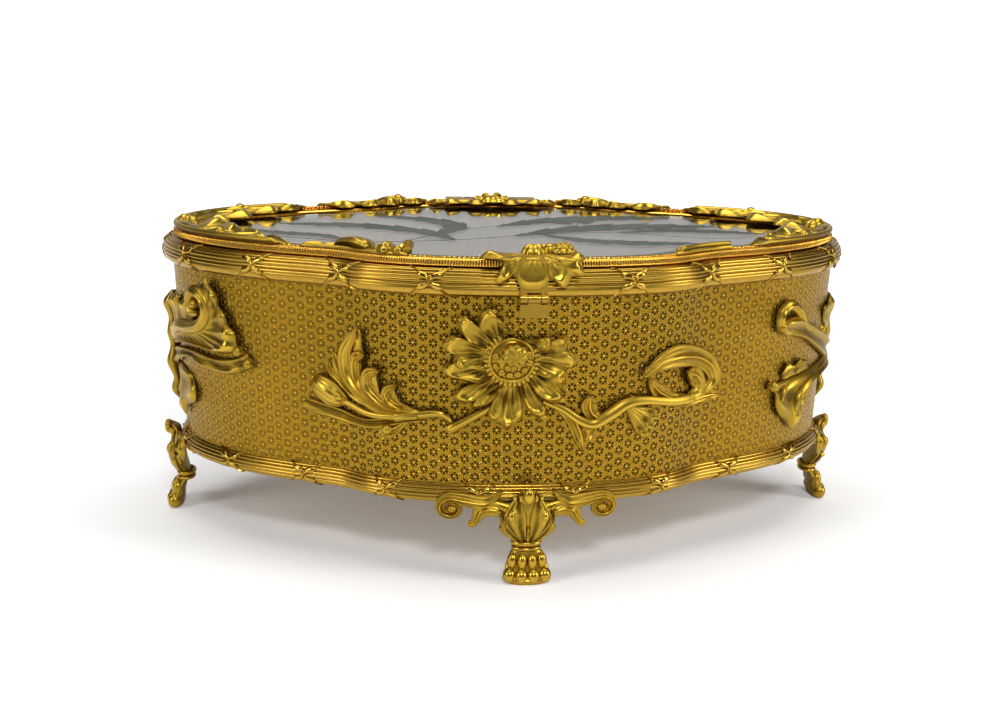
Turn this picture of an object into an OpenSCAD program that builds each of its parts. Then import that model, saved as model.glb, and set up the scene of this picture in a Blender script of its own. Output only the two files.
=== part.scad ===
// Gilt casket with a bevelled glass lid, four paw feet and cast flower mounts.
// Millimetres. The origin lies on the floor under the middle of the box, the front faces -Y.

/* [Plan of the box] */
// Width over the rim moulding
box_w = 260; // [246:1:290]
// Depth over the rim moulding
box_d = 173; // [160:1:190]
// How far the ends swell out, third wave of the plan across the width
end_swell = 5.2; // [4:0.1:6]
// How square the ends stand, fifth wave of the plan across the width
end_square = 12.5; // [11.5:0.1:13.5]
// How far the front and back bow out, third wave of the plan across the depth
bow_swell = 8.7; // [8:0.1:9.4]
// How tightly the bow turns in at its shoulders, fifth wave across the depth
bow_square = 5.5; // [5:0.1:6]

/* [Heights] */
// Floor to the underside of the base moulding
foot_h = 26.5; // [25:0.5:30]
// Height of the base moulding
base_h = 7; // [6:0.5:9]
// Height of the plain wall that shows between the mouldings
wall_show_h = 65; // [62:1:80]
// Height of the rim moulding
rim_h = 8.8; // [8.4:0.1:9.6]

/* [Body] */
// Thickness of the sheet that the wall is bent from
wall_t = 1.5; // [1.2:0.1:2]
// How far the wall stands in from the rim line at its top
wall_in = 3.5; // [3:0.1:4]
// How far the wall leans in from top to bottom
wall_lean = 3; // [2:0.1:4]
// How far the bead of the base moulding stands out from the wall
base_bead = 2.1; // [1.6:0.1:2.4]
// Width of the flange inside the base moulding
base_flange_w = 9.5; // [9:0.5:11]
// Thickness of the flanges inside both mouldings
flange_t = 1.8; // [1.6:0.1:2.2]
// Width of the ledge inside the rim moulding that the lid comes down on
rim_ledge_w = 11.5; // [10.5:0.5:12.5]
// Thickness of the bottom plate
bottom_t = 2; // [1.6:0.1:2.4]

/* [Lid] */
// Gap between the rim moulding's crown and the foot of the lid frame beside it
lid_gap = 1.2; // [0.8:0.1:1.6]
// Height of the lid frame
lid_h = 6.1; // [5.9:0.1:6.6]
// Width of the lid frame's top, from its outer edge to the glass
lid_frame_w = 5.4; // [5:0.1:6]
// Thickness of the glass in the middle
glass_t = 3.8; // [3.6:0.1:4]
// Width of the bevel round the glass
bevel_w = 10.3; // [8:0.1:14]
// Fall of the bevel from the flat to the edge of the glass
bevel_fall = 1; // [0.8:0.1:1.2]
// Thickness of the ring that holds the glass from below
retainer_t = 0.9; // [0.7:0.1:1]
// Width of the ring that holds the glass from below
retainer_w = 4; // [3:0.5:6]

/* [Hinge] */
// Length of the hinge
hinge_w = 40; // [30:1:44]
// Diameter of the hinge pin
hinge_pin_d = 2.2; // [1.8:0.1:2.4]
// Diameter of the hinge barrel
hinge_barrel_d = 4.2; // [3.8:0.1:4.6]
// Thickness of the hinge leaf on the lid
hinge_leaf_t = 1; // [0.8:0.1:1.2]

/* [Clasp] */
// Width of the clasp's strap and flap
clasp_w = 9; // [7:0.5:11]
// Thickness of the strap and flap
clasp_t = 1; // [0.8:0.1:1.2]
// Diameter of the rolled knuckles that the flap hangs in
clasp_knuckle_d = 3.2; // [2.8:0.1:3.6]
// Diameter of the pin through the knuckles
clasp_pin_d = 1.2; // [1:0.1:1.4]
// Length of the flap below the pin
clasp_flap_h = 6.2; // [5:0.1:7]
// Thickness of the cast leaf that hangs over the clasp
clasp_leaf_t = 1.4; // [1.2:0.1:1.6]

/* [Feet and mounts] */
// Half the spread of the scrolls beside the front and back feet
wing_long = 30; // [26:1:34]
// Half the spread of the scrolls beside the end feet
wing_short = 17; // [15:1:20]
// Diameter of the studs that hold the feet
foot_stud_d = 3; // [2.5:0.1:3.5]
// Thickness of the nuts on the feet's studs
foot_nut_h = 2; // [1.6:0.1:2]
// Diameter of the studs that hold the cast mounts
mount_stud_d = 2; // [1.6:0.1:2.4]
// Thickness of the nuts on the mount studs
mount_nut_h = 1.6; // [1.2:0.1:2]

/* [Lining] */
// Room left behind the lining for the nuts
lining_room = 5; // [4.5:0.5:6]
// Thickness of the silk-covered lining board
lining_t = 1.6; // [1.2:0.1:2]
// Thickness of the board under the cushion
board_t = 2.6; // [2.5:0.1:3]
// Height of the padded cushion
cushion_h = 9; // [6:0.5:12]

/* [Clearances] */
// Gap between fitted pieces that don't move
fit_gap = 0.1; // [0.05:0.01:0.15]
// Gap between pieces that move past each other
run_gap = 0.3; // [0.2:0.05:0.4]
// Gap between a cast mount and the face that it lies on
mount_gap = 0.25; // [0.2:0.05:0.3]

/* [Hidden] */

// Colours of the gilt bronze, its brighter castings, the glass and the silk
gilt = [0.72, 0.55, 0.20];
gilt_cast = [0.82, 0.66, 0.26];
glass_tint = [0.75, 0.80, 0.80, 0.45];
silk = [0.90, 0.86, 0.76];
card = [0.62, 0.52, 0.40];
steel = [0.62, 0.60, 0.55];

// The plan is divided into this many flats, and the box has two axes of symmetry
steps = 72;
step = 360 / steps;

// Heights that follow from the driving ones
base_top = foot_h + base_h;
flange_top = foot_h + flange_t;
rim_bottom = base_top + wall_show_h;
rim_top = rim_bottom + rim_h;
ledge_rise = 5.4;
ledge_top = rim_bottom + ledge_rise;
wall_top = ledge_top - flange_t - fit_gap;
wall_mid = base_top + wall_show_h / 2;
plate_top = flange_top + bottom_t;
lid_bottom = ledge_top + run_gap;
lid_top = lid_bottom + lid_h;
glass_bottom = lid_bottom + retainer_t + fit_gap;
glass_top = glass_bottom + glass_t;
glass_edge_top = glass_top - bevel_fall;

// Offsets from the rim line that follow from the driving ones
rim_crown_in = -5.2;
lid_foot_off = rim_crown_in - lid_gap;
lid_out = lid_foot_off + 2.3;
glass_off = lid_foot_off - 1.3;

// Waves of the plan line
wave_x1 = box_w / 2 - end_swell - end_square;
wave_y1 = box_d / 2 + bow_swell - bow_square;

function plan_x(t) = wave_x1 * cos(t) + end_swell * cos(3 * t) + end_square * cos(5 * t);
function plan_y(t) = wave_y1 * sin(t) + bow_swell * sin(3 * t) + bow_square * sin(5 * t);
function plan_dx(t) = -wave_x1 * sin(t) - 3 * end_swell * sin(3 * t) - 5 * end_square * sin(5 * t);
function plan_dy(t) = wave_y1 * cos(t) + 3 * bow_swell * cos(3 * t) + 5 * bow_square * cos(5 * t);

// Outward direction of the plan line at t
function outward(t) = let (d = [plan_dy(t), -plan_dx(t)]) d / norm(d);

// Point of the plan at t, off outward of the rim line
function plan(t, off) = [plan_x(t), plan_y(t)] + off * outward(t);

// The same on the flats between the plan's corners
function flat(t, off) =
    let (u = t / step, i = floor(u), f = u - i)
    (1 - f) * plan(i * step, off) + f * plan((i + 1) * step, off);

// Table from the length along the plan line, from the middle of the front, to t
half_steps = steps / 2;
arc_table = [
    for (i = 0, s = 0; i <= half_steps;
         s = s + norm(plan(270 + (i + 1) * step, 0) - plan(270 + i * step, 0)), i = i + 1)
        [s, 270 + i * step]
];
half_girth = arc_table[half_steps][0];
end_s = half_girth / 2;
function t_of(s) = s >= 0 ? lookup(s, arc_table) : 540 - lookup(-s, arc_table);

// Offset of the wall's outer face at height z
function wall_off(z) = -wall_in - wall_lean * (wall_top - z) / (wall_top - flange_top);
bead_off = wall_off(base_top) + base_bead;
lining_off = wall_off(flange_top) - wall_t - lining_room;

// Clasp: its back face hangs just outside the rim moulding
clasp_back = -box_d / 2 - run_gap;
clasp_pin_y = clasp_back - clasp_knuckle_d / 4;
clasp_pin_z = rim_bottom;
clasp_plate_t = clasp_t;
clasp_eye_w = 2.2;

// Hinge: the barrel lies behind the rim moulding, just below the lid's top
knuckles = 5;
knuckle_w = hinge_w / knuckles;
hinge_y = box_d / 2 + 0.9;
hinge_z = lid_top - 0.9;
hinge_seat_in = 2.3;
hinge_plate_t = hinge_seat_in + 1;
hinge_screw_d = 1.6;
hinge_screw_x = [-hinge_w * 0.3, hinge_w * 0.3];
hinge_screw_z = rim_bottom + 3;
hinge_lid_screw_y = box_d / 2 + lid_out - 1.4;
hinge_flat_z = hinge_z - hinge_barrel_d / 2 - run_gap;

// Places on the curved faces. s runs along the plan from the middle of the front, to the right.
// v is the height over the wall's middle line, or on the lid the way in from the rim line.
// h stands off the face.
on_wall = 0;
on_lid = 1;
function place(face, s, v, h) =
    face == on_wall
    ? let (z = wall_mid + v, q = flat(t_of(s), wall_off(z) + h)) [q[0], q[1], z]
    : let (q = flat(t_of(s), -v)) [q[0], q[1], lid_top + h];

// Ring with one profile of [offset, height] points carried round the plan
module ring(profile) {
    n = len(profile);
    polyhedron(
        points = [for (i = [0:steps - 1]) for (p = profile) [each plan(i * step, p[0]), p[1]]],
        faces = [
            for (i = [0:steps - 1]) for (j = [0:n - 1])
                let (a = i * n, b = ((i + 1) % steps) * n, k = (j + 1) % n)
                [a + j, a + k, b + k, b + j]
        ],
        convexity = 8
    );
}

// Plate of the plan's outline at one offset
module plate(off, z0, z1) {
    translate([0, 0, z0])
        linear_extrude(z1 - z0)
            polygon([for (i = [0:steps - 1]) plan(i * step, off)]);
}

// Faces across a ring of n points that is alike to both sides, and faces between m rings
function closing(n) = [
    for (i = [0:n / 2 - 1])
        i == 0 ? [0, 1, n - 1] : i == n / 2 - 1 ? [i, n / 2, n - i] : [i, i + 1, n - i - 1, n - i]
];
function sides(m, n) = [
    for (i = [0:m - 2]) for (j = [0:n - 1])
        [i * n + j, (i + 1) * n + j, (i + 1) * n + (j + 1) % n, i * n + (j + 1) % n]
];

// Closed skin over a list of rings that have as many points each
module skin(rings) {
    n = len(rings[0]);
    m = len(rings);
    polyhedron(
        points = [for (r = rings) each r],
        faces = concat(
            [[for (j = [0:n - 1]) j]],
            sides(m, n),
            [[for (j = [n - 1:-1:0]) (m - 1) * n + j]]
        ),
        convexity = 6
    );
}

// Point at u from 0 to 1 on a smooth curve through the points of a list
function curve(pts, u) =
    let (
        m = len(pts) - 1,
        k = min(m - 1, floor(u * m)),
        f = u * m - k,
        p0 = pts[max(0, k - 1)],
        p1 = pts[k],
        p2 = pts[k + 1],
        p3 = pts[min(m, k + 2)]
    )
    0.5 * (2 * p1 + f * (p2 - p0) + f * f * (2 * p0 - 5 * p1 + 4 * p2 - p3)
        + f * f * f * (3 * p1 - p0 - 3 * p2 + p3));

function curve_side(pts, u) =
    let (d = curve(pts, min(1, u + 0.02)) - curve(pts, max(0, u - 0.02))) [-d[1], d[0]] / norm(d);

// Acanthus leaf: a lobed blade with two swells beside a sunk midrib, on a flat back.
// spine is its centre line, w its half width, h its height, lift how far its tip stands off.
module leaf(face, spine, w, h, lobes = 3, lift = 0, n = 12, base = mount_gap) {
    section = [[1, 0], [0.55, 1], [0, 0.6], [-0.55, 1], [-1, 0]];
    skin([
        for (i = [0:n])
            let (
                u = i / n,
                p = curve(spine, u),
                q = curve_side(spine, u),
                notch = 1 - 0.34 * pow(0.5 - 0.5 * cos(360 * lobes * u), 2),
                wide = w * notch * max(0.1, pow(sin(180 * (0.1 + 0.87 * u)), 0.8)),
                high = h * (0.3 + 0.7 * sin(180 * (0.08 + 0.86 * u))),
                low = base + lift * u * u
            )
            [for (c = section)
                let (across = c[0] * wide)
                place(face, p[0] + q[0] * across, p[1] + q[1] * across, low + c[1] * high)]
    ]);
}

// Small ball on a face, as a node of a stem
module bead(face, p, r, rise = 0.7) {
    translate(place(face, p[0], p[1], mount_gap + r * (1 + rise * 0.2)))
        sphere(1.3 * r, $fn = 4);
}

// Stem: beads along a curve, joined pair by pair
module stem(face, pts, r0, r1, n = 8) {
    for (i = [0:n - 1])
        hull() {
            bead(face, curve(pts, i / n), r0 + (r1 - r0) * i / n);
            bead(face, curve(pts, (i + 1) / n), r0 + (r1 - r0) * (i + 1) / n);
        }
}

// Domed bud or boss: rings that close in as they rise
module bud(face, p, rx, ry, h, turn = 0, n = 10, base = mount_gap) {
    skin([
        for (k = [[1, 0], [1.04, 0.35], [0.8, 0.75], [0.42, 0.96], [0.08, 1]])
            [for (j = [0:n - 1])
                let (
                    a = 360 * j / n,
                    x = rx * k[0] * cos(a),
                    y = ry * k[0] * sin(a),
                    s = p[0] + x * cos(turn) - y * sin(turn),
                    v = p[1] + x * sin(turn) + y * cos(turn)
                )
                place(face, s, v, base + h * k[1])]
    ]);
}

// Wall: a band of sheet that leans in downwards, with a hole for each mount's stud
module wall() {
    color(gilt)
        difference() {
            ring([
                [wall_off(flange_top) - wall_t, flange_top],
                [wall_off(flange_top), flange_top],
                [wall_off(wall_top), wall_top],
                [wall_off(wall_top) - wall_t, wall_top]
            ]);
            for (m = mount_points)
                through_wall(m)
                    translate([0, 0, -wall_t - 2])
                        cylinder(d = mount_stud_d + 2 * fit_gap, h = wall_t + 4, $fn = 24);
        }
}

// Base moulding: a half-round bead outside the wall and a flange under it
module base_moulding() {
    inner = wall_off(flange_top) - base_flange_w;
    color(gilt)
        difference() {
            ring([
                [inner, foot_h],
                [wall_off(foot_h) - 0.4, foot_h],
                [bead_off - 0.6, foot_h + 0.12 * base_h],
                [bead_off, foot_h + 0.4 * base_h],
                [bead_off - 0.2, foot_h + 0.75 * base_h],
                [wall_off(base_top) + fit_gap, base_top],
                [wall_off(flange_top) + fit_gap, flange_top],
                [inner, flange_top]
            ]);
            for (a = foot_turns)
                at_foot(a)
                    translate([0, foot_stud_in, foot_h - 1])
                        cylinder(d = foot_stud_d + 2 * fit_gap, h = flange_t + 2, $fn = 24);
        }
}

// Rim moulding: a heavier half-round that caps the wall's edge, with a ledge inside for the lid
module rim_moulding() {
    inner = -wall_in - rim_ledge_w;
    color(gilt)
        difference() {
            ring([
                [inner, ledge_top - flange_t],
                [-wall_in + fit_gap, ledge_top - flange_t],
                [wall_off(rim_bottom) + fit_gap, rim_bottom],
                [-1.2, rim_bottom],
                [0, rim_bottom + 0.34 * rim_h],
                [-0.4, rim_bottom + 0.76 * rim_h],
                [-2.6, rim_top],
                [rim_crown_in, ledge_top],
                [inner, ledge_top]
            ]);
            hinge_seat(fit_gap);
            hinge_body_screw_bores();
        }
}

// Bottom plate, which lies on the flange of the base moulding
module bottom_plate() {
    color(gilt)
        difference() {
            plate(wall_off(flange_top) - wall_t - fit_gap, flange_top, plate_top);
            for (a = foot_turns)
                at_foot(a)
                    translate([0, foot_stud_in, flange_top - 1])
                        cylinder(d = foot_stud_d + 2 * fit_gap, h = bottom_t + 2, $fn = 24);
        }
}

// The feet stand at the middle of the front, right end, back and left end
foot_turns = [0, 90, 180, 270];
foot_stud_in = base_bead + 0.62 * base_flange_w;
function foot_reach(a) = (a % 180 == 0 ? box_d : box_w) / 2 + bead_off;

// Frame of one foot: the bead of the base moulding lies at y = 0 and -y points outward
module at_foot(a) {
    rotate([0, 0, a])
        translate([0, -foot_reach(a), 0])
            children();
}

// Ring of a leg: how far out and up its middle lies, its half width and half depth, and its tilt
function leg_ring(u, z, w, d, tilt, n = 8) = [
    for (j = [0:n - 1])
        let (a = 360 * j / n, x = w * cos(a), y = d * sin(a))
        [x, -(u + y * cos(tilt)), z + y * sin(tilt)]
];

module paw_foot(turn, wing) {
    k = foot_h / 26.5;
    color(gilt_cast)
        at_foot(turn) {
            // Rolled knee, shin, ankle and the back of the paw
            skin([
                leg_ring(6.6, 33.4 * k, 1.4, 0.5, 100),
                leg_ring(5.4, 36.4 * k, 2.8, 1.3, 50),
                leg_ring(2.4, 32.6 * k, 4.4, 1.4, -30),
                leg_ring(2.7, 27 * k, 7.4, 2.0, -10),
                leg_ring(2.6, 21.5 * k, 9.8, 2.8, 0),
                leg_ring(1.6, 17.2 * k, 8.4, 3.1, 12),
                leg_ring(-0.3, 13.8 * k, 4.6, 2.5, 15),
                leg_ring(-1.1, 11.6 * k, 3.8, 2.3, 5),
                leg_ring(-0.5, 9 * k, 5.4, 2.9, -20),
                leg_ring(1.1, 5.4 * k, 7.0, 3.9, -35),
                leg_ring(2.1, 1.6 * k, 6.8, 4.1, -8),
                leg_ring(1.9, 0, 5.8, 3.5, 0)
            ]);
            // Ring round the ankle
            skin([
                leg_ring(-0.7, 12.9 * k, 5.2, 3.3, 10),
                leg_ring(-0.9, 11.5 * k, 5.2, 3.4, 6)
            ]);
            // Four toes, each with a knuckle and a rounded claw
            for (x = [-5.7, -1.95, 1.95, 5.7]) {
                out = 5.1 - 0.045 * x * x;
                hull() {
                    translate([x * 0.86, 3.2 - out, 6.6 * k]) sphere(2.5, $fn = 4);
                    translate([x * 0.95, 1.0 - out, 4.6 * k]) sphere(2.6, $fn = 4);
                }
                hull() {
                    translate([x * 0.95, 1.2 - out, 3.8 * k]) sphere(2.4, $fn = 4);
                    translate([x, -0.4 - out, 1.62]) sphere(2.28, $fn = 4);
                }
            }
            // Tongue under the base moulding, where the stud stands
            translate([-5, -2.4, foot_h - 2.2])
                cube([10, foot_stud_in + 5.6, 2.2]);
            for (side = [-1, 1]) {
                scroll(turn, side, wing);
                hanging_tip(turn, side, wing);
            }
        }
}

// Section of a scroll: half width across, then off the moulding's bead
scroll_section = [[1, 0.3], [0.6, 2.2], [-0.6, 2.2], [-1, 0.3]];
function reverse(v) = [for (i = [len(v) - 1:-1:0]) v[i]];
function scroll_side(side) = side > 0 ? scroll_section : reverse(scroll_section);

// Point beside a foot, in the foot's frame, that follows the moulding's curve
function beside_foot(turn, side, x, z, h) =
    let (
        across = turn % 180 == 0,
        q = plan(t_of((across ? 0 : end_s) + side * x), bead_off + h)
    )
    [across ? q[0] : q[1], (across ? q[1] : -q[0]) + foot_reach(turn), z];

// Scroll from the knee along the moulding, wound into a volute of radius volute_r
volute_r = 4.4;
volute_turns = 1.35;
module scroll(turn, side, wing) {
    n = 11;
    eye = wing - volute_r;
    path = concat(
        [[5.5, foot_h - 1.9, 2.6], [0.45 * eye, foot_h + 0.9, 1.9], [0.8 * eye, foot_h + 1.9, 1.5]],
        [for (i = [0:n])
            let (f = i / n, a = 90 - 360 * volute_turns * f, r = volute_r - 2.6 * f)
            [eye + r * cos(a), foot_h - 2.4 + r * sin(a), 1.35 - 0.4 * f]]
    );
    skin([
        for (i = [0:len(path) - 1])
            let (
                a = path[max(0, i - 1)],
                b = path[min(len(path) - 1, i + 1)],
                d = [b[0] - a[0], b[1] - a[1]] / norm([b[0] - a[0], b[1] - a[1]]),
                w = path[i][2]
            )
            [for (c = scroll_side(side))
                beside_foot(turn, side, path[i][0] - d[1] * c[0] * w, path[i][1] + d[0] * c[0] * w, c[1])]
    ]);
}

// Leaf tip that hangs below the scroll
module hanging_tip(turn, side, wing) {
    skin([
        for (k = [[0.44, 0.1, 2.2], [0.56, -2.9, 3], [0.62, -6, 2], [0.62, -8.2, 0.4]])
            [for (c = scroll_side(side))
                beside_foot(turn, side, wing * k[0] + c[0] * k[2], foot_h + k[1], c[1] - 0.1)]
    ]);
}

module front_foot() { paw_foot(0, wing_long); }
module right_foot() { paw_foot(90, wing_short); }
module back_foot() { paw_foot(180, wing_long); }
module left_foot() { paw_foot(270, wing_short); }

// Studs that rise from the feet's tongues through the flange and the bottom plate
module foot_studs() {
    color(steel)
        for (a = foot_turns)
            at_foot(a)
                translate([0, foot_stud_in, foot_h])
                    cylinder(d = foot_stud_d, h = flange_t + bottom_t + foot_nut_h, $fn = 24);
}

// Six-sided nut on a stud of diameter d
module nut(d, h) {
    difference() {
        cylinder(d = 1.9 * d, h = h, $fn = 6);
        translate([0, 0, -1])
            cylinder(d = d + fit_gap, h = h + 2, $fn = 24);
    }
}

module foot_nuts() {
    color(steel)
        for (a = foot_turns)
            at_foot(a)
                translate([0, foot_stud_in, plate_top])
                    nut(foot_stud_d, foot_nut_h);
}

// Stud places as [s, v], under a boss or the root of a leaf
front_studs = [[-6.5, 11.5], [-53, -11.5], [-73, -2], [21.5, -10.5], [52, 6.5]];
end_studs = [[-24, 6], [24, 6], [0, -12]];
mount_points = concat(
    front_studs,
    [for (p = front_studs) p + [half_girth, 0]],
    [for (p = end_studs) p + [end_s, 0]],
    [for (p = end_studs) p - [end_s, 0]]
);

// Frame on the wall at a stud place, with z pointing outward
module through_wall(p) {
    s = p[0] > half_girth ? p[0] - 2 * half_girth : p[0];
    n = outward(t_of(s));
    translate(place(on_wall, s, p[1], 0))
        rotate([0, 90, atan2(n[1], n[0])])
            children();
}

nut_stand = 0.3;
stud_tail = 0.4;
module mount_studs() {
    inner = wall_t + nut_stand + mount_nut_h + stud_tail;
    color(steel)
        for (m = mount_points)
            through_wall(m)
                translate([0, 0, -inner])
                    cylinder(d = mount_stud_d, h = inner + mount_gap * 0.6, $fn = 24);
}

module mount_nuts() {
    color(steel)
        for (m = mount_points)
            through_wall(m)
                translate([0, 0, -wall_t - nut_stand - mount_nut_h])
                    nut(mount_stud_d, mount_nut_h);
}

// Open flower: a pleated bud in a collar of sepals, with lobed petals round it
flower_at = front_studs[0];
module flower_mount() {
    color(gilt_cast)
        union() {
            bud(on_wall, flower_at, 6.8, 6.8, 7.5, n = 9);
            for (a = [0:45:315])
                hull() {
                    bead(on_wall, flower_at + 6.5 * [cos(a), sin(a)], 1.3);
                    bead(on_wall, flower_at + 9 * [cos(a), sin(a)], 0.9);
                }
            leaf(on_wall, [flower_at + [-5.5, 5.5], [-16, 22], [-22.5, 26.5]], 5.4, 3.2, 3, 1, 7);
            leaf(on_wall, [flower_at + [-2, 7], [-10.5, 23], [-12.5, 28.5]], 3.6, 2.6, 2, 1, 6);
            leaf(on_wall, [flower_at + [-7, 1.5], [-21, 14.5], [-30.5, 17]], 4.8, 3.4, 3, 1.6, 7);
            leaf(on_wall, [flower_at + [-7, -3], [-21, 5.5], [-31, 6]], 4.4, 3, 2, 1, 6);
            leaf(on_wall, [flower_at + [-5.5, -6], [-19, 0], [-27, -2.5]], 4, 3, 2, 0.6, 6);
            leaf(on_wall, [flower_at + [-1.5, -7], [-9.5, -5], [-9, -14.5]], 5.4, 3.2, 3, 1, 7);
            leaf(on_wall, [flower_at + [3, -7], [1, -4], [0.5, -11.5]], 4.2, 3, 2, 0.8, 6);
            leaf(on_wall, [flower_at + [6.5, -4], [7, 1], [13, -2.5]], 4.2, 3, 2, 0.8, 6);
            leaf(on_wall, [flower_at + [7, 1.5], [8, 13.5], [15.5, 14]], 6, 3.2, 3, 1.4, 7);
        }
}

// Spray to the left of the flower: stem, long leaf, acanthus leaf and a closed bud
module left_spray_mount() {
    color(gilt_cast)
        union() {
            stem(on_wall, [[-17, -7.4], [-26.5, -12.6], [-36, -10.6], [-43, -9.6]], 1.3, 1.7);
            leaf(on_wall, [[-42, -7], [-51.5, -1], [-57.5, 8], [-61.5, 19]], 4.8, 3, 4, 2.2, 10);
            leaf(on_wall, [[-49, -6], [-60, -2], [-67, 6], [-72.5, 10.5]], 3.6, 2.6, 2, 1.2, 6);
            leaf(on_wall, [[-42, -11.5], [-60, -13], [-74, -10.5], [-85, -10.5]], 4.2, 2.8, 4, 0.8, 10);
            stem(on_wall, [[-56, -11], [-62, -9], [-67, -6]], 1.2, 1.4, 4);
            bud(on_wall, front_studs[2], 7, 4.6, 5, -38, 7);
            bud(on_wall, [-50, -16], 2.5, 2.5, 3.2, n = 6);
        }
}

// Spray to the right: a stem that dips, leaf tips, and a leaf that curls back on itself
module right_spray_mount() {
    color(gilt_cast)
        union() {
            stem(on_wall, [[7.5, -5.4], [13, -7.5], front_studs[3], [32, -6]], 1.3, 1.5);
            leaf(on_wall, [[16, -7.5], [20.5, -13.5], [18.5, -21]], 3, 2.6, 2, 0.8, 6);
            leaf(on_wall, [[24, -10.5], [20.5, -6.5], [19.5, -1.5]], 2.4, 2.4, 1, 1, 5);
            leaf(on_wall, [[32, -6], [43, -6.5], [54, -6.5], [66, -8.5]], 3.8, 3, 3, 0.6, 8);
            leaf(on_wall, [[60, -5], [68, -1.5], [62, 8.5], [48, 10], [39, 5]], 4, 3.6, 4, 1.4, 12);
            leaf(on_wall, [[66, -6.5], [72, -5.5], [78, -6]], 2.6, 2.2, 1, 0.6, 4);
            leaf(on_wall, [[34, -9], [41, -12], [48, -15.5]], 3, 2.4, 2, 0.6, 6);
            bud(on_wall, front_studs[4], 3, 3, 3.6, n = 6);
        }
}

module front_flower() { flower_mount(); }
module front_left_spray() { left_spray_mount(); }
module front_right_spray() { right_spray_mount(); }
module back_flower() { rotate([0, 0, 180]) flower_mount(); }
module back_left_spray() { rotate([0, 0, 180]) left_spray_mount(); }
module back_right_spray() { rotate([0, 0, 180]) right_spray_mount(); }

// Acanthus that wraps one end of the box: a fan of five fingers to one side of a middle rib,
// an upper curl and a drooping leaf to the other
module end_mount(turn) {
    rotate([0, 0, turn])
        color(gilt_cast)
            union() {
                stem(on_wall, [[end_s, -21], [end_s, -8], [end_s, 10], [end_s, 22]], 2.6, 1.6, 8);
                for (tip = [[12, 27], [38, 24], [49, 19], [56, 10], [61, 1]])
                    end_leaf([[0.5, tip[1] - 12], [0.5 * tip[0], 0.92 * tip[1]], tip], 4, 3.4, 2, 1.6, 6);
                end_leaf([[-0.5, 1], [-26, 7], [-50, 8], [-65, 16], [-58, 24]], 5.6, 3.6, 4, 2, 11);
                end_leaf([[-0.5, -9], [-30, -4], [-56, -7], [-61, -21]], 4.8, 3.2, 4, 1, 9);
                for (p = [end_studs[0], end_studs[1]])
                    bud(on_wall, p + [end_s, 0], 4.4, 4.4, 5.4, n = 6, base = mount_gap + corner_gap);
            }
}

// Leaf of that casting, held a little further off because it runs round the plan's corners
corner_gap = 0.55;
module end_leaf(spine, w, h, lobes, lift, n) {
    leaf(on_wall, [for (p = spine) p + [end_s, 0]], w, h, lobes, lift, n, mount_gap + corner_gap);
}
module right_end_acanthus() { end_mount(0); }
module left_end_acanthus() { end_mount(180); }

// Lid frame: a bezel with a cove below, a milled band and a lip over the glass
module lid_frame() {
    lip = lid_out - lid_frame_w;
    color(gilt)
        difference() {
            ring([
                [glass_off + fit_gap, lid_bottom],
                [lid_foot_off, lid_bottom],
                [lid_foot_off, lid_bottom + 2.3],
                [lid_out, lid_top - 2.5],
                [lid_out, lid_top - 0.6],
                [lid_out - 0.8, lid_top],
                [lip, glass_edge_top + 0.8],
                [lip, glass_edge_top + 2 * fit_gap],
                [glass_off + fit_gap, glass_edge_top + 2 * fit_gap]
            ]);
            hinge_lid_screw_bores();
        }
}

// Bevelled glass
module lid_glass() {
    levels = [[glass_off, glass_bottom], [glass_off, glass_edge_top], [glass_off - bevel_w, glass_top]];
    color(glass_tint)
        polyhedron(
            points = [for (l = levels) for (i = [0:steps - 1]) [each plan(i * step, l[0]), l[1]]],
            faces = concat(
                closing(steps),
                [for (f = closing(steps)) reverse([for (v = f) v + 2 * steps])],
                sides(3, steps)
            ),
            convexity = 4
        );
}

// Ring sprung into the frame under the glass
module glass_retainer() {
    color(gilt)
        difference() {
            plate(glass_off, lid_bottom, lid_bottom + retainer_t);
            plate(glass_off - retainer_w, lid_bottom - 1, lid_bottom + retainer_t + 1);
        }
}

// Bud spray on the front left of the lid
module lid_bud_spray() {
    color(gilt_cast)
        union() {
            stem(on_lid, [[-42, 2.5], [-52, 2.5], [-62, 5], [-68, 7]], 0.9, 1.3);
            leaf(on_lid, [[-45, 3], [-54, 8], [-61, 13], [-65, 18]], 3, 2, 3, 1.2, 7);
            leaf(on_lid, [[-65.5, 5.5], [-74, 4.8], [-84, 3]], 3.4, 2.2, 2, 0.8, 6);
            bud(on_lid, [-70, 10], 5.4, 3.6, 3.6, 20, 8);
        }
}

// Acanthus over one end of the lid
module lid_end_mount(turn) {
    rotate([0, 0, turn])
        color(gilt_cast)
            union() {
                stem(on_lid, [for (p = [[-44, 3], [-14, 3.4], [14, 3.4], [44, 3]]) p + [end_s, 0]], 1.3, 1.3);
                for (side = [-1, 1]) {
                    spine = [[side * 5, 7], [side * 24, 12], [side * 50, 13], [side * 74, 6]];
                    leaf(on_lid, [for (p = spine) p + [end_s, 0]], 5.6, 3, 4, 1, 10);
                }
                leaf(on_lid, [[end_s, 3], [end_s, 12], [end_s, 23]], 6, 3.4, 2, 1, 6);
            }
}
module lid_right_acanthus() { lid_end_mount(0); }
module lid_left_acanthus() { lid_end_mount(180); }

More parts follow.
